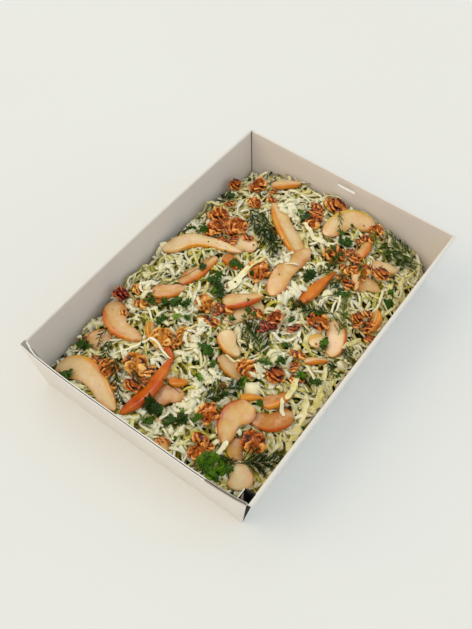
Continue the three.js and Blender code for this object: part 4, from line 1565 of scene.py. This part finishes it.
parsley_finish = Finish("chopped_parsley", Roughness=0.38, Specular_IOR_Level=0.15)
fresh = parsley_finish.mark("fresh")
veins = parsley_finish.grain(0.0022, 3.0)
parsley_finish.paint(parsley_finish.ramp(
    fresh + (veins - 0.5) * 0.5,
    (0.0, (34, 54, 0)),
    (0.35, (54, 90, 2)),
    (0.7, (94, 134, 14)),
    (1.0, (144, 174, 44)),
))
parsley_finish.emboss(veins, 0.0003)

parsley_rows = [
    # place (mm), spread, leaves, size, freshness
    (-107, 46, 4, 4, 6, 0.3), (-117, 114, 4, 3, 5, 0.3),
    (-43, -1, 7, 7, 7, 0.3), (-34, -8, 5, 5, 7, 0.35), (-27, 131, 4, 3, 5, 0.35),
    (32, 129, 5, 5, 6, 0.3), (31, 68, 3, 3, 5, 0.35), (104, 99, 4, 3, 6, 0.35),
    (-99, -132, 5, 5, 8, 0.10), (-93, -170, 5, 8, 11, 0.15), (-92, 44, 3, 4, 7, 0.2),
    (-75, -58, 5, 5, 6, 0.25),
    (-55, -47, 5, 5, 6, 0.3), (-43, -59, 4, 4, 5, 0.8), (-37, -54, 3, 3, 5, 0.4),
    (-2, -148, 7, 8, 9, 0.05), (-4, -68, 4, 4, 6, 0.3), (14, -78, 4, 4, 6, 0.35),
    (14, -100, 4, 4, 5, 0.6), (49, -77, 4, 4, 6, 0.65), (52, -48, 5, 5, 6, 0.3),
    (62, -37, 5, 5, 6, 0.3), (71, -86, 3, 2, 5, 0.5), (38, -137, 4, 4, 5, 0.4),
    (4, -161, 5, 6, 6, 0.35), (85, 4, 4, 4, 6, 0.35),
    (66, 65, 5, 5, 6, 0.3), (86, -38, 5, 5, 7, 0.25), (102, -34, 4, 4, 6, 0.3),
    (55, -19, 4, 3, 5, 0.35), (68, -161, 5, 7, 7, 0.5), (72, -155, 5, 7, 7, 0.6),
    (79, -153, 5, 6, 7, 0.5), (76, -164, 5, 6, 7, 0.6), (82, -161, 5, 6, 7, 0.4),
    (86, -154, 4, 5, 6, 0.35), (9, -12, 4, 3, 5, 0.35),
    (44, 8, 4, 4, 5, 0.3),
    (60, 30, 4, 3, 5, 0.35), (30, 100, 4, 3, 5, 0.4),
    (27, -142, 4, 6, 8, 0.1), (17, -148, 4, 4, 7, 0.2), (2, -70, 5, 5, 7, 0.2), (30, 64, 5, 6, 8, 0.1),
    (-18, 128, 4, 4, 7, 0.2), (-104, 108, 4, 5, 8, 0.1), (36, 124, 5, 5, 8, 0.2), (-33, -8, 5, 6, 8, 0.1),
    (-66, 8, 4, 3, 6, 0.2), (-3, -26, 4, 3, 6, 0.3), (107, 92, 4, 4, 6, 0.3), (-47, -43, 4, 5, 7, 0.15),
    (-54, -70, 4, 4, 6, 0.2), (-66, -50, 3, 3, 6, 0.2), (-38, 29, 4, 4, 7, 0.2), (70, 148, 4, 4, 6, 0.3),
]


def settled(points, at_x, at_y, lift):
    points = points + np.array((at_x, at_y, 0.0))
    points[:, 2] += over_all(points[:, 0], points[:, 1]) + lift
    return keep_in_tray(points)


def scattered(count, share_on_toppings):
    """Random places in the tray, with only this share of those that would be on a topping."""
    for _ in range(count):
        x = chance.uniform(-inside_half_width, inside_half_width)
        y = chance.uniform(-inside_half_length, inside_half_length)
        cell = chart_index(np.array(x), np.array(y))
        if chance.random() < share_on_toppings or not on_topping[cell]:
            yield x, y


parsley = Batch()
chance = np.random.default_rng(31)
for x, y, spread, count, size, freshness in parsley_rows:
    for layer in range(count):
        blank, points = torn(lobed_leaves, chance, size * leaf_smallest, size * leaf_largest,
                             leaf_curl, leaf_narrowest)
        points = turned_points(points, chance.uniform(0, math.tau), *chance.normal(0, leaf_tilt, 2))
        at = (np.array((x, y)) + chance.normal(0, spread / 2, 2)) * 0.001
        tone = np.clip(freshness + chance.normal(0, tone_spread), 0, 1)
        parsley.add(blank, settled(points, *at, leaf_rise + layer_rise * layer), fresh=tone)
parsley.piece("parsley_leaves", parsley_finish, "herbs")

chopped = Batch()
for x, y in scattered(scrap_tries, scraps_on_toppings):
    blank, points = torn(scraps, chance, scrap_smallest, scrap_largest, scrap_curl, scrap_narrowest)
    points = turned_points(points, chance.uniform(0, math.tau), *chance.normal(0, scrap_tilt, 2))
    tone = np.clip(chance.normal(scrap_tone, scrap_tone_spread), 0, 1)
    chopped.add(blank, settled(points, x, y, scrap_rise), fresh=tone)
chopped.piece("parsley_scraps", parsley_finish, "herbs")

# %% [markdown]
# ## Dill
# A frond of dill is a thin stem with side branches, and each branch is a spray of fine threads. The
# thread is modelled once, as a three-sided spike. A function grows a frond as the plant does: along
# the stem it sets branches in turn to the left and right, shorter towards the tip, and along each
# branch it sets threads. A stem is a six-sided rod bent along its line.

# %% Dill blanks and finish
def rod_blank(sides, rings, tip):
    """A rod two units long along X, of radius one, which narrows to its tip."""
    rod = start_from(
        bpy.ops.mesh.primitive_cylinder_add,
        vertices=sides, radius=1, depth=2, rotation=(0, math.pi / 2, 0),
    )
    settle(rod)
    with editing(rod, "EDGE"):
        pick(rod, "edges", runs_along(0))
        bpy.ops.mesh.subdivide(number_cuts=rings - 1)
    with editing(rod, "VERT"):
        for ring in range(rings + 1):
            along = -1 + 2 * ring / rings
            pick(rod, "verts", lambda vertex: abs(vertex.co.x - along) < 0.001)
            narrow = 1 - (1 - tip) * ring / rings
            bpy.ops.transform.resize(value=(1, narrow, narrow), center_override=(along, 0, 0))
    return Blank(rod)


thread_blank = rod_blank(3, 3, tip=0.25)
stem_blank = rod_blank(6, 12, tip=0.55)

dill_finish = Finish("dill", Roughness=0.5, Specular_IOR_Level=0.2)
young = dill_finish.mark("young")
dill_finish.paint(dill_finish.ramp(
    young + (dill_finish.grain(0.006) - 0.5) * 0.4,
    (0.0, (26, 44, 0)),
    (0.4, (46, 78, 8)),
    (0.75, (92, 114, 24)),
    (1.0, (158, 160, 62)),
))
dill_finish.emboss(dill_finish.grain(0.0006, 1.0), 0.0001)
print("thread:", len(thread_blank.sizes), "faces, stem:", len(stem_blank.sizes), "faces")

# %% [markdown]
# In the rows, reach is how far the longest branches stand out from the stem in millimetres, and a
# high number of branches makes a dense plume. Every frond gets its stem, and there are bare stems too.

# %% Dill fronds
frond_rows = [
    # line of the stem (mm), reach, branches, youth
    (((-72, 100), (-49, 84), (-17, 66)), 13, 26, 0.25),
    (((-60, 106), (-38, 87), (-16, 72)), 10, 20, 0.40),
    (((105, 149), (87, 156), (68, 165)), 13, 16, 0.60),
    (((104, 151), (90, 166), (76, 172)), 9, 12, 0.45),
    (((80, 136), (67, 142), (52, 150)), 8, 12, 0.95),
    (((36, 71), (40, 86), (41, 104)), 9, 16, 0.40),
    (((55, 61), (56, 72), (56, 84)), 7, 12, 0.35),
    (((44, -44), (31, -31), (13, -20)), 13, 18, 0.30),
    (((36, -48), (27, -38), (17, -32)), 8, 10, 0.20),
    (((73, 36), (55, 29), (37, 25)), 12, 18, 0.30),
    (((90, 22), (83, 42), (71, 66)), 8, 20, 0.70),
    (((103, 14), (109, 9), (115, 4)), 7, 10, 0.50),
    (((32, -118), (40, -99), (48, -77)), 11, 26, 0.25),
    (((92, -140), (106, -127), (118, -114)), 12, 24, 0.15),
    (((72, -150), (86, -145), (98, -136)), 7, 9, 0.35),
    (((-62, -130), (-47, -146), (-28, -161)), 8, 20, 0.15),
    (((-80, -116), (-75, -128), (-69, -141)), 7, 14, 0.20),
    (((7, 154), (16, 143), (22, 131)), 6, 8, 0.75),
    (((98, -6), (105, -14), (112, -20)), 7, 10, 0.50),
    (((-92, -106), (-94, -116), (-86, -126)), 6, 10, 0.25),
    (((60, 108), (68, 100), (72, 90)), 6, 8, 0.60),
    (((-40, -130), (-30, -136), (-22, -138)), 5, 8, 0.25),
    (((64, 140), (84, 145), (104, 150)), 12, 14, 0.35),
    (((-44, 88), (-34, 82), (-22, 78)), 10, 14, 0.20),
]
stem_rows = [
    # line (mm), thickness (mm), youth
    (((-98, -39), (-79, -27), (-67, -1), (-65, 14), (-64, 31)), 0.8, 0.10),
    (((-89, -21), (-81, -19), (-75, -15)), 0.7, 0.10),
    (((-96, -36), (-84, -34), (-74, -24)), 0.6, 0.10),
    (((-11, -122), (-2, -121), (9, -121)), 1.0, 0.10),
    (((74, -13), (93, -6), (110, 4)), 1.0, 0.25),
    (((71, 37), (85, 33), (99, 34)), 0.9, 0.30),
    (((-18, -36), (-6, -32), (11, -31)), 0.8, 0.30),
    (((112, 168), (104, 159), (94, 152)), 0.9, 0.30),
    (((82, -144), (96, -139), (103, -135)), 0.8, 0.30),
    (((-136, 55), (-120, 52), (-112, 46)), 0.9, 0.10),
    (((-30, -70), (-10, -62), (8, -58)), 0.7, 0.40),
    (((30, -88), (38, -96), (52, -100)), 0.7, 0.30),
    (((-116, 60), (-108, 76), (-96, 84)), 0.7, 0.35),
]
thread_width = 0.00045
twig_spacing = 0.0022
frond_stem_width = 0.7
stem_rise = 0.0012


def grow_thread(batch, start, bearing, length, lift, tone):
    """Lays one thread from start, which is x and y, and drapes it over what lies there."""
    points = thread_blank.points * (length / 2, thread_width, thread_width)
    points = points + np.array((length / 2, 0.0, 0.0))
    points[:, 1] += chance.normal(0, 12) * points[:, 0] ** 2
    points[:, 2] += chance.normal(0.10, 0.22) * points[:, 0]
    points = turned_points(points, yaw=bearing)
    batch.add(thread_blank, settled(points, *start, lift), young=tone)


def grow_frond(batch, line, reach, branches, youth):
    path = [(x, y, 0.0) for x, y in in_metres(line)]
    for number in range(branches):
        share = np.array([(number + chance.uniform(0.2, 0.8)) / branches])
        base = spline(path, share)[0]
        ahead = spline(path, np.minimum(share + 0.02, 1))[0] - spline(path, share - 0.02)[0]
        bearing = math.atan2(ahead[1], ahead[0]) + (-1) ** number * chance.uniform(0.25, 0.85)
        length = reach * 0.001 * (1.1 - 0.45 * float(share[0])) * chance.uniform(0.7, 1.15)
        heading = np.array((math.cos(bearing), math.sin(bearing)))
        lift = chance.uniform(0.0012, 0.0048)
        tone = float(np.clip(youth + chance.normal(0, 0.12), 0, 1))
        grow_thread(batch, base[:2], bearing, length, lift, tone)
        twigs = 3 + int(length / twig_spacing)
        for twig in range(twigs):
            place = base[:2] + heading * length * (twig + 0.5) / twigs
            turn = (-1) ** twig * chance.uniform(0.12, 0.42)
            size = length * chance.uniform(0.4, 0.7) * (1.1 - 0.6 * twig / twigs)
            grow_thread(batch, place, bearing + turn, size, lift, tone)


surface = softened(topside, 4)
dill = Batch()
for line, reach, branches, youth in frond_rows:
    grow_frond(dill, line, reach, branches, youth)
dill.piece("dill_fronds", dill_finish, "herbs")

stems = Batch()
frond_stems = [(line, frond_stem_width, youth) for line, _, _, youth in frond_rows]
for line, thickness, youth in stem_rows + frond_stems:
    points = bend(stem_blank.points, in_metres(line), thickness * 0.001, thickness * 0.001,
                  rise=stem_rise, over=over_all)
    stems.add(stem_blank, keep_in_tray(points), young=youth)
stems.piece("herb_stems", dill_finish, "herbs")

# %% [markdown]
# ## Crumbs and pepper
# What falls last is the finest: crumbs of candied nut round the kernels, and ground pepper all over.
# A crumb is a ball of twenty faces with a few corners pushed in.

# %% Crumbs and pepper
nut_crumb_count, crumb_spread = 260, 9
crumb_smallest, crumb_largest, crumb_rise = 0.0005, 0.0014, 0.0004
pepper_tries, pepper_on_toppings = 420, 0.12
pepper_smallest, pepper_largest, pepper_rise = 0.0002, 0.00042, 0.0003

ball = start_from(bpy.ops.mesh.primitive_ico_sphere_add, subdivisions=1, radius=1)
with editing(ball, "VERT"):
    pick(ball, "verts", lambda vertex: vertex.index % 3 == 0)
    bpy.ops.transform.resize(value=(0.6, 0.7, 0.6), center_override=(0, 0, 0))
crumb = Blank(ball)

pepper_finish = clouded("ground_pepper", (30, 22, 14), (74, 56, 36), 0.001, 1.0, Roughness=0.7)
walnut_places = [(row[0], row[1]) for row in broken_rows]
for number in range(1, len(walnut_rows) + 1):
    low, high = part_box(f"walnut_{number:02d}")
    walnut_places.append(tuple((low[axis] + high[axis]) * 500 for axis in (0, 1)))


def grain_of(smallest, largest):
    """A crumb of some size, turned anyhow."""
    points = crumb.points * chance.uniform(smallest, largest)
    return turned_points(points, *chance.uniform(0, math.tau, 3))


nut_crumbs, pepper = Batch(), Batch()
for _ in range(nut_crumb_count):
    x, y = walnut_places[chance.integers(len(walnut_places))] + chance.normal(0, crumb_spread, 2)
    points = settled(grain_of(crumb_smallest, crumb_largest), x * 0.001, y * 0.001, crumb_rise)
    nut_crumbs.add(crumb, points, proud=chance.uniform(0.2, 0.9), roast=chance.uniform(0.1, 0.6))
nut_crumbs.piece("nut_crumbs", walnut_finish, "candied_walnut")
for x, y in scattered(pepper_tries, pepper_on_toppings):
    pepper.add(crumb, settled(grain_of(pepper_smallest, pepper_largest), x, y, pepper_rise))
pepper.piece("ground_pepper", pepper_finish, "herbs")

# %% [markdown]
# ## Size and close
# The size of the finished model is set beside the frame's in one dictionary and printed.

# %% Size and close
visual_low, visual_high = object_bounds()
size = {"cad": [list(cad_low), list(cad_high)], "visual": [list(visual_low), list(visual_high)]}
print("visual model:", [round(side, 4) for side in visual_high - visual_low], "m")
